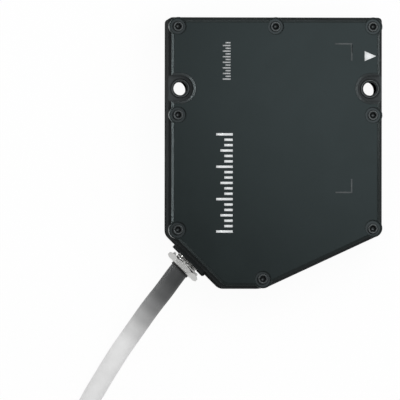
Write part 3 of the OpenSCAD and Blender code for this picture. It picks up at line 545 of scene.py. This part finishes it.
def satin_paint(name, paint, colour, share, edge, rough, shine):
    """Satin paint with a fine grain, faint patches, edges rubbed a little lighter, and settled dust that also
    paints light: a painted sheen on ledges that look up, and painted light on recess floors in shade.
    """
    material, tree, shader, where = blank(name)
    fine = use(tree, "fine grain", {"Vector": where, "Scale": paint.grain, "Patch": 70.0})
    rim = use(tree, "rounded edge", {"Radius": edge})
    dust_and_light = use(tree, "dust and painted light", {"Vector": where, "Height": paint.dust_and_light_height, "Share": share})
    tint = fine["Tint"]
    # Pale dust that is also painted light: it lifts ledges and recess floors under the cover's top
    dust_and_light_share = times(tree, dust_and_light["Dust and light"], between(tree, tint, 0.8, 1.0))
    rubbed = times(tree, rim["Edge"], between(tree, tint, 0.15, 0.6))
    tone = mixed(tree, dust_and_light_share, toned(tree, tint, colour, 0.86, 1.16), rgba(paint.dust_and_light))
    feed(tree, shader, {
        "Base Color": mixed(tree, rubbed, tone, rgba(paint.worn)),
        "Roughness": between(tree, fine["Rough"], rough - 0.015, rough + 0.015),
        "Normal": bump(tree, fine["Height"], 0.00002, 0.5, Normal=rim["Normal"]),
        "Specular IOR Level": shine,
        "Specular Tint": (0.75, 0.95, 1.0, 1.0),
    })
    return material


def metal(name, colour, rough, stretch, sheen=0.18):
    """Metal with streaks along its working direction: lighter and darker lines, rough lines, soft edges."""
    material, tree, shader, where = blank(name)
    lines = use(tree, "brushed streaks", {"Vector": where, "Stretch": stretch})
    rim = use(tree, "rounded edge", {"Radius": 0.0001})
    tone = toned(tree, lines["Streak"], colour, 1 - sheen, 1 + sheen)
    feed(tree, shader, {
        "Base Color": mixed(tree, times(tree, rim["Edge"], 0.4), tone, rgba(colour, 1.25, 0.02)),
        "Roughness": between(tree, lines["Streak"], rough * 0.75, rough * 1.3),
        "Normal": bump(tree, lines["Height"], 0.000012, 0.35, Normal=rim["Normal"]),
        "Metallic": 1.0,
    })
    return material


def moulded(name, colour, rough, grain, specular=0.4):
    """Moulded plastic or rubber: grain, faint patches, soft edges."""
    material, tree, shader, where = blank(name)
    fine = use(tree, "fine grain", {"Vector": where, "Scale": grain, "Patch": grain / 25.0})
    rim = use(tree, "rounded edge", {"Radius": 0.00015})
    tone = toned(tree, fine["Tint"], colour, 0.85, 1.12)
    feed(tree, shader, {
        "Base Color": mixed(tree, times(tree, rim["Edge"], 0.35), tone, rgba(colour, 1.3, 0.01)),
        "Roughness": between(tree, fine["Rough"], rough * 0.85, rough * 1.12),
        "Normal": bump(tree, fine["Height"], 0.00002, 0.5, Normal=rim["Normal"]),
        "Specular IOR Level": specular,
    })
    return material


def polished_glass(name, colour, rough, coat):
    """Polished glass with a faint coating haze that changes its roughness in patches."""
    material, tree, shader, where = blank(name)
    haze = use(tree, "fine grain", {"Vector": where, "Scale": 900.0, "Patch": 120.0})
    feed(tree, shader, {
        "Base Color": toned(tree, haze["Tint"], colour, 0.95, 1.0),
        "Roughness": between(tree, haze["Rough"], rough * 0.6, rough * 1.4),
        "Transmission Weight": 1.0,
        "IOR": 1.5,
        "Coat Weight": coat,
    })
    return material


def circuit_board(name, colour, copper):
    """Solder mask over copper tracks: square cells mark tracks, which lie a little lighter and higher."""
    material, tree, shader, where = blank(name)
    cells = put(tree, "ShaderNodeTexVoronoi", {"distance": "CHEBYCHEV", "feature": "F1"},
                {"Vector": where, "Scale": 420.0, "Randomness": 0.85})
    fine = use(tree, "fine grain", {"Vector": where, "Scale": 5000.0, "Patch": 150.0})
    rows = math_node(tree, "PINGPONG", times(tree, cells.outputs["Distance"], 5.0), 1.0)
    track = ranged(tree, rows, 0.42, 0.5)
    mask = toned(tree, fine["Tint"], colour, 0.85, 1.15)
    feed(tree, shader, {
        "Base Color": mixed(tree, times(tree, track, 0.45), mask, rgba(copper)),
        "Roughness": between(tree, fine["Rough"], 0.26, 0.36),
        "Normal": bump(tree, track, 0.00003, 0.6),
    })
    return material


def woven_sleeve(name, colour):
    """Braided sleeve: two slanted bands cross, and where they cross the height and the tone change."""
    material, tree, shader, where = blank(name)
    aside = put(tree, "ShaderNodeMapping", {}, {
        "Vector": where, "Rotation": (0.0, 0.0, math.radians(90.0))}).outputs[0]
    bands = [put(tree, "ShaderNodeTexWave", {"bands_direction": "DIAGONAL"},
                 {"Vector": place, "Scale": 320.0}).outputs["Fac"] for place in (where, aside)]
    cross = math_node(tree, "MAXIMUM", *bands)
    feed(tree, shader, {
        "Base Color": toned(tree, cross, colour, 0.5, 1.0),
        "Roughness": 0.75,
        "Normal": bump(tree, cross, 0.0001, 0.8),
    })
    return material


def screen_ink(name, colour):
    """Screen-printed ink: a fine mesh grain in its tone and a matt, slightly uneven film."""
    material, tree, shader, where = blank(name)
    fine = use(tree, "fine grain", {"Vector": where, "Scale": 6000.0, "Patch": 400.0})
    feed(tree, shader, {
        "Base Color": toned(tree, fine["Tint"], colour, 0.9, 1.06),
        "Roughness": between(tree, fine["Rough"], 0.5, 0.66),
        "Normal": bump(tree, fine["Height"], 0.00001, 0.4),
        "Specular IOR Level": 0.3,
    })
    return material


def cable_jacket(name, cable, length):
    """Extruded jacket: its tone fades along the cable's own length, with drawn lines and a fine grain."""
    material, tree, shader, where = blank(name)
    along = put(tree, "ShaderNodeUVMap", {"uv_map": "along"}, {}).outputs[0]
    way = ranged(tree, parts_of(tree, along)[0], cable.fade_from / length, cable.fade_to / length,
                 ease="LINEAR")
    fade = put(tree, "ShaderNodeValToRGB", {}, {0: way})
    ramp = fade.color_ramp
    ramp.interpolation = "EASE"
    dark, pale = np.array(cable.dark), np.array(cable.pale)
    ramp.elements[0].color = rgba(dark)
    ramp.elements[1].color = rgba(pale)
    for place, share in JACKET_FADE:
        ramp.elements.new(place).color = rgba(dark + (pale - dark) * share)
    fine = use(tree, "fine grain", {"Vector": where, "Scale": 3200.0, "Patch": 160.0})
    drawn = use(tree, "brushed streaks", {"Vector": along, "Stretch": (90.0, 60.0, 1.0)})
    black = (0.0, 0.0, 0.0, 1.0)
    height = math_node(tree, "ADD", fine["Height"], drawn["Height"])
    feed(tree, shader, {
        "Base Color": mixed(tree, times(tree, fine["Tint"], 0.08), fade.outputs[0], black),
        "Roughness": between(tree, drawn["Streak"], 0.48, 0.62),
        "Normal": bump(tree, height, 0.00003, 0.4),
        "Specular IOR Level": 0.3,
    })
    return material


# Operators
class SENSOR_OT_stage(bpy.types.Operator):
    """Camera at the photograph's angle, soft lamps, a pale sky and a white floor"""
    bl_idname = "sensor.stage"
    bl_label = "Stage"

    def execute(self, context):
        stage = context.scene.sensor_stage
        scene = context.scene
        scene.view_settings.view_transform = "Standard"
        self.camera(scene, stage)
        self.sky(scene, stage)
        self.floor(stage)
        self.lamp("key lamp", stage.key, **KEY_LAMP)
        self.lamp("left lamp", stage.left, **LEFT_LAMP, beam=stage.beam)
        for (x, y), power in zip(MOUNTS_AT * MM, (stage.seat, stage.seat * stage.dimmer)):
            self.fan(x, y, power, stage.beam)
        self.lamp("right lamp", stage.right, **RIGHT_LAMP, beam=stage.beam)
        self.lamp("top lamp", stage.top, **TOP_LAMP)
        return {"FINISHED"}

    def camera(self, scene, stage):
        """Camera on a line through the cover's middle, turned by yaw, pitch and roll, moved aside."""
        (sp, sy, sr), (cp, cy, cr) = np.sin(stage.turn), np.cos(stage.turn)
        yaw = np.array([[cy, 0, sy], [0, 1, 0], [-sy, 0, cy]])
        pitch = np.array([[1, 0, 0], [0, cp, -sp], [0, sp, cp]])
        roll = np.array([[cr, -sr, 0], [sr, cr, 0], [0, 0, 1]])
        back = (roll @ pitch @ yaw).T
        place = np.eye(4)
        place[:3, :3] = back
        place[:3, 3] = back @ np.array([*stage.aside, stage.distance]) + FRONT_Z * MM * UP
        data = bpy.data.cameras.new("camera")
        data.sensor_width = FILM_WIDTH
        data.lens = FILM_WIDTH * stage.distance / stage.field
        data.clip_end = CAMERA_SIGHT
        camera = bpy.data.objects.new("camera", data)
        camera.matrix_world = Matrix(place)
        scene.collection.objects.link(camera)
        scene.camera = camera

    def sky(self, scene, stage):
        """Even pale light from all around."""
        world = bpy.data.worlds.new("sky")
        world.use_nodes = True
        tree = world.node_tree
        feed(tree, tree.nodes["Background"], {"Color": WHITE, "Strength": stage.sky})
        scene.world = world

    def floor(self, stage):
        """Flat floor under the head: white where it is looked at or mirrored, with the shadow kept."""
        side = np.linspace(-FLOOR_REACH, FLOOR_REACH, FLOOR_LINES)
        x, y = np.meshgrid(side, side, indexing="ij")
        floor = grid_mesh("floor", np.stack([x, y, np.full_like(x, FLOOR_Z)], axis=-1))
        material, tree, shader, _ = blank("floor")
        feed(tree, shader, {
            "Base Color": rgba(stage.floor), "Roughness": 0.9, "Specular IOR Level": 0.0})
        seen = put(tree, "ShaderNodeLightPath", {}, {}).outputs
        looked = math_node(tree, "MAXIMUM", seen["Is Camera Ray"], seen["Is Glossy Ray"])
        looked = math_node(tree, "MAXIMUM", looked, seen["Is Transmission Ray"])
        white = put(tree, "ShaderNodeEmission", {}, {"Color": WHITE, "Strength": 1.0})
        both = put(tree, "ShaderNodeMixShader", {}, {
            0: times(tree, looked, FLOOR_WHITE), 1: shader.outputs[0], 2: white.outputs[0]})
        feed(tree, tree.nodes["Material Output"], {"Surface": both.outputs[0]})
        give(floor, material)

    def fan(self, x, y, power, beam):
        """Lamps on an arc outside the head that all face one mounting seat."""
        for angle in FAN_ANGLES:
            out = math.copysign(FAN_REACH, x) * math.cos(angle)
            at = (x + out, y + FAN_REACH * math.sin(angle), FAN_FROM_Z)
            self.lamp("seat lamp", power, at, (x, y, FAN_TO_Z), FAN_SIZE, beam)

    def lamp(self, name, power, at, to, size, beam=math.pi):
        """Rectangular soft lamp that faces a point, behind a grid that holds its light to a beam."""
        data = bpy.data.lights.new(name, "AREA")
        data.shape = "RECTANGLE"
        data.size, data.size_y = size
        data.energy, data.spread = power, beam
        lamp = bpy.data.objects.new(name, data)
        lamp.visible_camera = False
        back = np.array(at) - np.array(to)
        back /= np.linalg.norm(back)
        across, up = axes_of(back)
        place = np.eye(4)
        place[:3] = np.stack([-across, up, back, np.array(at)], axis=1)
        lamp.matrix_world = Matrix(place)
        bpy.context.scene.collection.objects.link(lamp)


class SENSOR_OT_cable(bpy.types.Operator):
    """Round cable from the gland to the plug, wound one and a quarter times round its coil"""
    bl_idname = "sensor.cable"
    bl_label = "Cable"

    def execute(self, context):
        """Circle across and up from the path, carried along it, with both ends closed flat."""
        cable = context.scene.sensor_cable
        path, run = cable_path(cable.spacing)
        ahead = np.gradient(path, axis=0)
        ahead /= np.linalg.norm(ahead, axis=1, keepdims=True)
        ahead[0] = GLAND_DIR
        ahead[-1] = PLUG_DIR
        across = np.cross(ahead, UP)
        across /= np.linalg.norm(across, axis=1, keepdims=True)
        up = np.cross(across, ahead)
        angles = np.linspace(0.0, 2.0 * math.pi, cable.sides + 1)
        ring = np.cos(angles)[:, None] * across[:, None] + np.sin(angles)[:, None] * up[:, None]
        skin = path[:, None] + cable.diameter / MM / 2 * ring
        start, end = (np.repeat(tip[None, None], cable.sides + 1, axis=1) for tip in (path[0], path[-1]))
        length = run[-1]
        u = np.concatenate([[0.0], run / length, [1.0]])
        uv = np.stack(np.meshgrid(u, angles / (2.0 * math.pi), indexing="ij"), axis=-1)
        piece = grid_mesh("cable", np.concatenate([start, skin, end]) * MM, uv=uv)
        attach(give(piece, cable_jacket("cable jacket", cable, length * MM)), BODY)
        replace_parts(piece, "cable_lead", "cable_coil", "cable_tail")
        return {"FINISHED"}


class SENSOR_OT_plug(bpy.types.Operator):
    """Grooved boot, knurled plug shell and the tie round the coil"""
    bl_idname = "sensor.plug"
    bl_label = "Plug and tie"

    def execute(self, context):
        plug = context.scene.sensor_plug
        self.boot(plug)
        self.shell(plug)
        self.tie()
        return {"FINISHED"}

    def boot(self, plug):
        """Cone whose radius grows from thin by swell * share^0.85, less a groove: groove * sin(ribs * pi *
        share of the ribbed length)^8."""
        length, thin, swell, groove = 13.9, 4.2, 2.3, 0.6
        ribs_from, ribs_over = 0.06, 0.8
        share = np.linspace(0.0, 1.0, 140)
        ribbed = np.clip((share - ribs_from) / ribs_over, 0.0, 1.0)
        radius = thin + swell * share**0.85 - groove * np.sin(ribbed * plug.ribs * math.pi)**8
        along = np.concatenate([[0.0], length * share, [length]])
        radius = np.concatenate([[0.0], radius, [0.0]])
        piece = grid_mesh("plug_boot", turned(PLUG_AT, PLUG_DIR, along, radius, around(56)), wrap_u=True)
        rubber = moulded("boot rubber", (0.012, 0.012, 0.012), 0.62, 1800.0)
        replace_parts(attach(give(piece, rubber), BODY), "connector_boot")

    def shell(self, plug):
        """Turned shell: a stepped profile, with a knurled grip whose radius falls by depth * (1 - the product
        of two slanted ridge waves), and a thread round its mouth: depth * (1 + cos of a helix) / 2."""
        grip_r, thread_r = 8.0, 7.38
        grip_from, grip_to, thread_from, thread_to = 16.6, 25.4, 33.4, 41.4
        profile = np.concatenate([
            [(14.0, 0.0), (14.0, 6.4), (14.25, 6.6), (15.5, 7.9)],
            [(15.8, 8.0), (16.0, 7.55), (16.2, 7.55), (16.4, 8.0)],
            even(grip_from, grip_to, 90, grip_r),
            [(25.7, 7.55), (26.3, 7.55), (26.6, 7.9)],
            even(26.8, 32.2, 12, 7.9),
            [(32.4, 7.6), (33.0, 7.4)],
            even(33.05, 41.6, 90, thread_r),
            [(41.9, 7.25), (42.0, 7.1), (42.0, 6.6), (42.0, 6.35), (41.9, 6.22)],
            [(33.2, 6.2), (33.0, 6.2), (33.0, 0.0)],
        ])
        along, r = profile.T
        angles = around(288)
        a = angles[:, None]
        run_out, slant, pitch, thread_depth = 0.4, 2.4, 1.0, 0.3
        grip = np.clip(np.minimum(along - grip_from, grip_to - along) / run_out, 0.0, 1.0)
        turn = plug.knurls * a / 2.0
        ridge = np.abs(np.sin(turn + along * slant)) * np.abs(np.sin(turn - along * slant))
        thread = np.clip(np.minimum(along - thread_from, thread_to - along) / run_out, 0.0, 1.0)
        wave = 0.5 + 0.5 * np.cos(2.0 * math.pi * along / pitch - a)
        radius = r - grip * plug.knurl_depth / MM * (1.0 - ridge) - thread * thread_depth * wave
        piece = grid_mesh("plug_shell", turned(PLUG_AT, PLUG_DIR, along, radius, angles), wrap_u=True)
        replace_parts(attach(give(piece, bpy.data.materials["nickel plate"]), BODY), "connector_shell")

    def tie(self):
        """Strap and head of the tie, where it holds the coil."""
        angle = math.radians(TIE_ANGLE)
        outward = np.array([math.cos(angle), math.sin(angle), 0.0])
        ahead = np.array([-math.sin(angle), math.cos(angle), 0.0])
        middle = COIL_AT + COIL_R * outward + COIL_LAYER / 2 * UP
        strap = grid_mesh("coil_tie", self.strap(middle, outward, ahead), wrap_u=True, wrap_v=True)
        block = grid_mesh("coil_tie_head", self.block(middle, outward, ahead), wrap_u=True)
        nylon = moulded("tie nylon", (0.014, 0.014, 0.015), 0.4, 2600.0, specular=0.5)
        for piece in (strap, block):
            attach(give(piece, nylon), BODY)
        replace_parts(strap, "cable_tie")

    def strap(self, middle, outward, ahead):
        """Squared ellipse as the section, carried round a squared ellipse as the loop, with ratchet ridges
        on its outside that are the upper halves of a sine."""
        loop_w, loop_h, half_t, half_w = 4.15, 7.6, 0.45, 2.0
        ridges, ridge_h, ridges_past = 70, 0.08, 0.3
        t, b = around(160), around(20)
        loop = np.stack([squared(np.cos(t), 0.32) * loop_w, squared(np.sin(t), 0.32) * loop_h], axis=1)
        tangent = np.roll(loop, -1, 0) - np.roll(loop, 1, 0)
        tangent /= np.linalg.norm(tangent, axis=1, keepdims=True)
        normal = np.stack([tangent[:, 1], -tangent[:, 0]], axis=1)
        thick = squared(np.sin(b), 0.4) * half_t
        wide = squared(np.cos(b), 0.4) * half_w
        ratchet = ridge_h * np.maximum(0.0, np.sin(t * ridges))[:, None] * (thick > ridges_past)
        flat = loop[:, None] + normal[:, None] * (thick + ratchet)[..., None]
        return (middle + flat[..., :1] * outward + flat[..., 1:] * UP + wide[:, None] * ahead) * MM

    def block(self, middle, outward, ahead):
        """Squared ball: the powers 0.35 of a ball's sines and cosines, times its three half sizes."""
        lift, out = 4.4, 6.45
        half_t, half_l, half_h = 1.95, 2.5, 3.0
        u, v = np.meshgrid(around(40), np.linspace(-math.pi / 2, math.pi / 2, 25), indexing="ij")
        level, rise = (squared(wave, 0.35)[..., None] for wave in (np.cos(v), np.sin(v)))
        east, north = (squared(wave, 0.35)[..., None] for wave in (np.cos(u), np.sin(u)))
        ball = level * east * half_t * outward + level * north * half_l * ahead + rise * half_h * UP
        return (middle + lift * UP + out * outward + ball) * MM


class SENSOR_OT_gland(bpy.types.Operator):
    """Threaded gland stud, its toothed lock washer and the lip of its seal"""
    bl_idname = "sensor.gland"
    bl_label = "Gland"

    def execute(self, context):
        gland = context.scene.sensor_gland
        self.stud(gland)
        self.washer(gland)
        self.lip()
        return {"FINISHED"}

    def stud(self, gland):
        """Tube whose outer radius falls by depth * (1 + cos(2 pi * along / pitch - angle)) / 2: a helix."""
        thread_r = 4.5
        profile = np.concatenate([
            [(-9.8, 2.6), (-9.8, 4.1)], even(-9.7, 5.2, 240, thread_r),
            [(5.3, 4.1), (5.3, 3.5), (2.5, 3.5), (2.5, 2.6), (-9.8, 2.6)],
        ])
        along, r = profile.T
        angles = around(72)
        turn = 2.0 * math.pi * along / (gland.pitch / MM) - angles[:, None]
        radius = r - (r == thread_r) * gland.depth / MM * (0.5 + 0.5 * np.cos(turn))
        piece = grid_mesh("gland_stud", turned(GLAND_AT, GLAND_DIR, along, radius, angles), wrap_u=True)
        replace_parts(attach(give(piece, bpy.data.materials["nickel plate"]), BODY), "gland_body")

    def washer(self, gland):
        """Ring whose outer radius goes between root and tip by a sine with its tops cut off, with teeth that
        lean by such a cosine and hardly stand proud of the face under the nut."""
        low, high, proud = 2.45, 3.05, 0.02
        bore_r, root_r, middle_r = 4.55, 4.9, 5.55
        tooth, twist, steep = 0.4, 0.1, 1.6
        angles = around(gland.teeth * 12)
        tip = middle_r + tooth * np.clip(steep * np.sin(gland.teeth * angles), -1.0, 1.0)
        lean = twist * np.clip(steep * np.cos(gland.teeth * angles), -1.0, 1.0)
        crest = high + np.minimum(lean, proud)
        along = np.stack(np.broadcast_arrays(low, low, low + lean, crest, high, high), axis=1)
        radius = np.stack(np.broadcast_arrays(bore_r, root_r, tip, tip, root_r, bore_r), axis=1)
        points = turned(GLAND_AT, GLAND_DIR, along, radius, angles)
        piece = grid_mesh("gland_washer", points, wrap_u=True, wrap_v=True, sharp=30.0)
        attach(give(piece, bpy.data.materials["nickel plate"]), BODY)

    def lip(self):
        """Rubber ring round the cable: an ellipse section, cos and sin to the power 0.6, carried round."""
        middle, half_w, middle_r, half_h = 5.6, 0.4, 3.64, 0.16
        b = around(24)
        along = middle + half_w * squared(np.cos(b), 0.6)
        radius = middle_r + half_h * squared(np.sin(b), 0.6)
        points = turned(GLAND_AT, GLAND_DIR, along, radius, around(64))
        piece = grid_mesh("seal_lip", points, wrap_u=True, wrap_v=True)
        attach(give(piece, bpy.data.materials["black rubber"]), BODY)


class SENSOR_OT_screws(bpy.types.Operator):
    """Cover screws with rounded heads and hex sockets"""
    bl_idname = "sensor.screws"
    bl_label = "Cover screws"

    def execute(self, context):
        """Turned profile from the shank's end over the head's quarter-round rim into the socket, where the
        radius is a hexagon's: half its width / cos(angle from the middle of the nearest flat)."""
        screw = context.scene.sensor_screws
        shank_r, foot_in, wall_in = 1.25, 0.085, 0.035
        mouth_h, mouth_share, point_h = 0.12, 1.22, 0.9
        head, high, rim = screw.head_d / MM / 2, screw.head_h / MM, screw.edge / MM
        end, floor, flat = -screw.shank / MM, high - screw.deep / MM, screw.socket / MM / 2
        curl = np.linspace(0.0, math.pi / 2, 6)[1:]
        z = np.concatenate([
            [end, end, 0.0, 0.0, high - rim], high - rim + rim * np.sin(curl),
            [high, high - mouth_h, floor, floor - point_h]])
        outside = np.concatenate([
            [0.0, shank_r, shank_r, head - foot_in, head - wall_in], head - rim + rim * np.cos(curl)])
        angles = around(72)
        hexagon = flat / np.cos(np.mod(angles, math.pi / 3) - math.pi / 6)
        radius = np.stack(np.broadcast_arrays(
            *outside, flat * mouth_share, hexagon, hexagon, 0.0), axis=1)
        points = stood(SCREWS_AT, SCREW_SEAT_Z, z, radius, angles)
        piece = grid_mesh("cover_screw_set", points, wrap_u=True)
        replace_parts(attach(give(piece, bpy.data.materials["blackened steel"]), BODY), "cover_screws")
        return {"FINISHED"}


class SENSOR_OT_rings(bpy.types.Operator):
    """Raised rings that the heads of the mounting screws bear on"""
    bl_idname = "sensor.rings"
    bl_label = "Seat rings"

    def execute(self, context):
        """Low ring: height * sin(pi * share) to the power 0.45 over its width, carried round each hole."""
        ring = context.scene.sensor_rings
        slope_gap, foot_gap = 0.003, 0.001
        share = np.linspace(0.0, 1.0, 17)
        r = (ring.inner_r + (ring.outer_r - ring.inner_r) * share) / MM
        z = ring.high / MM * np.clip(np.sin(math.pi * share), 0.0, 1.0)**0.45 + slope_gap
        r, z = np.append(r, r[::-1]), np.append(z, np.full_like(z, foot_gap))
        points = stood(MOUNTS_AT, MOUNT_SEAT_Z, z, r, around(96))
        piece = grid_mesh("seat_rings", points, wrap_u=True, wrap_v=True)
        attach(give(piece, bpy.data.materials["blackened steel"]), BODY)
        return {"FINISHED"}


class SENSOR_OT_prints(bpy.types.Operator):
    """Arrow at the laser axis, corner marks and two plain scales on the cover"""
    bl_idname = "sensor.prints"
    bl_label = "Prints"

    def execute(self, context):
        ink = context.scene.sensor_prints
        white = screen_ink("white ink", ink.white)
        grey = screen_ink("grey ink", ink.grey)
        self.sheet("arrow_print", self.arrow(), white, ink.film)
        self.sheet("corner_prints", self.corners(ink.line / MM / 2), grey, ink.film)
        tick = np.arange(19)
        reach = np.where(tick % 6 == 0, 5.9, np.where(tick % 3 == 0, 4.4, 3.0))
        scale = self.ticks(reach, foot=-15.4, first=-28.2, step=1.93, half=0.42)
        self.sheet("scale_print", scale, white, ink.film)
        reach = np.where(np.arange(14) % 2 == 0, 2.8, 1.8)
        small = self.ticks(reach, foot=-16.2, first=26.3, step=1.0, half=0.24)
        light = screen_ink("light grey ink", [part * ink.fade for part in ink.white])
        self.sheet("fine_scale_print", small, light, ink.film)
        return {"FINISHED"}

    def arrow(self):
        """Triangle that points right, with its tip cut off, as one 2 by 2 grid."""
        base_x, base_y = 31.85, (32.85, 36.4)
        tip_x, tip_y = 35.9, (34.6, 34.65)
        return np.array([[[[base_x, y] for y in base_y], [[tip_x, y] for y in tip_y]]])

    def corners(self, half):
        """Two angle brackets, each a level and an upright bar that meet at the right."""
        x, top, low = 27.2, 39.0, -14.15
        top_left, top_end, low_left, low_end = 21.2, 33.0, 21.4, -9.3
        return self.bars([
            (top_left, x + half, top - half, top + half), (x - half, x + half, top_end, top - half),
            (x - half, x + half, low + half, low_end), (low_left, x + half, low - half, low + half)])

    def ticks(self, reach, foot, first, step, half):
        """Bars that reach to the left of a foot line, one step above each other."""
        y = first + np.arange(len(reach)) * step
        return self.bars(np.stack([foot - reach, np.full_like(reach, foot), y - half, y + half], axis=1))

    def bars(self, edges):
        """Rectangles from (left, right, bottom, top), as one 2 by 2 grid each."""
        left, right, low, high = np.asarray(edges, dtype=float).T
        sides = [np.stack([np.stack([x, low], -1), np.stack([x, high], -1)], 1) for x in (left, right)]
        return np.stack(sides, 1)

    def sheet(self, name, flat, material, film):
        """Flat patches on the cover, as a film of ink with its edges closed."""
        gap = 0.004
        z = np.full(flat.shape[:-1] + (1,), FRONT_Z + gap)
        piece = grid_mesh(name, np.concatenate([flat, z], axis=-1) * MM)
        normals = np.empty(len(piece.data.polygons) * 3)
        piece.data.polygons.foreach_get("normal", normals)
        if normals[2::3].mean() < 0:
            piece.data.flip_normals()
        wall = piece.modifiers.new("film", "SOLIDIFY")
        wall.thickness, wall.offset = film, 1.0
        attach(give(piece, material), BODY)


class SENSOR_OT_finishes(bpy.types.Operator):
    """Finishes of the parts that come from the frame"""
    bl_idname = "sensor.finishes"
    bl_label = "Finishes"

    def execute(self, context):
        paint = context.scene.sensor_paint
        along_x, along_z = (500.0, 9000.0, 9000.0), (9000.0, 9000.0, 500.0)
        made = {
            # Both paints lift their level faces under the cover's top with dust and painted light, by their
            # shares
            "case_paint": satin_paint(
                "case paint", paint, paint.case, paint.case_dust_and_light, paint.case_edge, rough=0.75, shine=0.0),
            "cover_paint": satin_paint(
                "cover paint", paint, paint.cover, paint.cover_dust_and_light, paint.cover_edge, rough=0.3, shine=0.1),
            "dark_steel": metal("blackened steel", (0.037, 0.041, 0.042), 0.4, along_z),
            "bright_steel": metal("bright steel", (0.55, 0.55, 0.56), 0.28, along_x),
            "nickel": metal("nickel plate", (0.5, 0.5, 0.49), 0.13, along_z, sheen=0.12),
            "clear_glass": polished_glass("clear glass", (0.93, 0.97, 0.97), 0.03, 0.3),
            "red_glass": polished_glass("red glass", (0.22, 0.012, 0.016), 0.05, 0.4),
            "light_pipe": moulded("light pipe", (0.68, 0.74, 0.68), 0.3, 1500.0, specular=0.6),
            "black_rubber": moulded("black rubber", (0.01, 0.01, 0.01), 0.7, 2200.0),
            "loom_sleeve": woven_sleeve("loom sleeve", (0.09, 0.09, 0.09)),
            "cream_plastic": moulded("cream plastic", (0.7, 0.66, 0.54), 0.5, 1600.0),
            "plain_aluminium": metal("plain aluminium", (0.42, 0.43, 0.44), 0.36, along_x),
            "black_anodised": metal("black anodised", (0.018, 0.018, 0.02), 0.42, along_z),
            "gold_plate": metal("gold plate", (0.75, 0.5, 0.14), 0.22, along_x),
            "brass_post": metal("brass post", (0.62, 0.45, 0.17), 0.3, along_z),
            "green_board": circuit_board("green board", (0.008, 0.09, 0.03), (0.05, 0.16, 0.05)),
            "black_plastic": moulded("black plastic", (0.012, 0.012, 0.013), 0.5, 1800.0),
            "chip_ceramic": moulded("chip ceramic", (0.16, 0.13, 0.1), 0.55, 3000.0),
            "chip_plastic": moulded("chip plastic", (0.013, 0.013, 0.014), 0.48, 3500.0),
            "amber_film": moulded("amber film", (0.46, 0.2, 0.03), 0.25, 1200.0, specular=0.6),
            "cable_jacket": moulded("plain jacket", (0.6, 0.6, 0.6), 0.5, 2600.0),
        }
        for part in frame["record"]["subparts"]:
            give(frame["nodes"][part["node"]], made[part["material_slot"]])
        return {"FINISHED"}


class SENSOR_PT_pieces(bpy.types.Panel):
    """Lists the pieces and their settings"""
    bl_label = "Laser displacement sensor"
    bl_space_type = "VIEW_3D"
    bl_region_type = "UI"
    bl_category = "Sensor"

    def draw(self, context):
        for operator in OPERATORS:
            self.layout.operator(operator.bl_idname)
        for label, group in SETTINGS.items():
            box = self.layout.box()
            settings = getattr(context.scene, label)
            for key in group.__annotations__:
                box.prop(settings, key)


SETTINGS = {
    "sensor_cable": CableSettings, "sensor_paint": PaintSettings, "sensor_prints": PrintSettings,
    "sensor_gland": GlandSettings, "sensor_screws": ScrewSettings, "sensor_rings": RingSettings,
    "sensor_plug": PlugSettings, "sensor_stage": StageSettings,
}
OPERATORS = (
    SENSOR_OT_stage, SENSOR_OT_finishes, SENSOR_OT_plug, SENSOR_OT_cable, SENSOR_OT_gland,
    SENSOR_OT_screws, SENSOR_OT_rings, SENSOR_OT_prints,
)


def register():
    for label, group in SETTINGS.items():
        bpy.utils.register_class(group)
        setattr(bpy.types.Scene, label, PointerProperty(type=group))
    for operator in OPERATORS:
        bpy.utils.register_class(operator)
    bpy.utils.register_class(SENSOR_PT_pieces)


def unregister():
    bpy.utils.unregister_class(SENSOR_PT_pieces)
    for operator in reversed(OPERATORS):
        bpy.utils.unregister_class(operator)
    for label, group in reversed(SETTINGS.items()):
        delattr(bpy.types.Scene, label)
        bpy.utils.unregister_class(group)


def main():
    """Builds every piece in order."""
    register()
    bpy.ops.sensor.stage()
    bpy.ops.sensor.finishes()
    bpy.ops.sensor.plug()
    bpy.ops.sensor.cable()
    bpy.ops.sensor.gland()
    bpy.ops.sensor.screws()
    bpy.ops.sensor.rings()
    bpy.ops.sensor.prints()


if __name__ == "__main__":
    main()
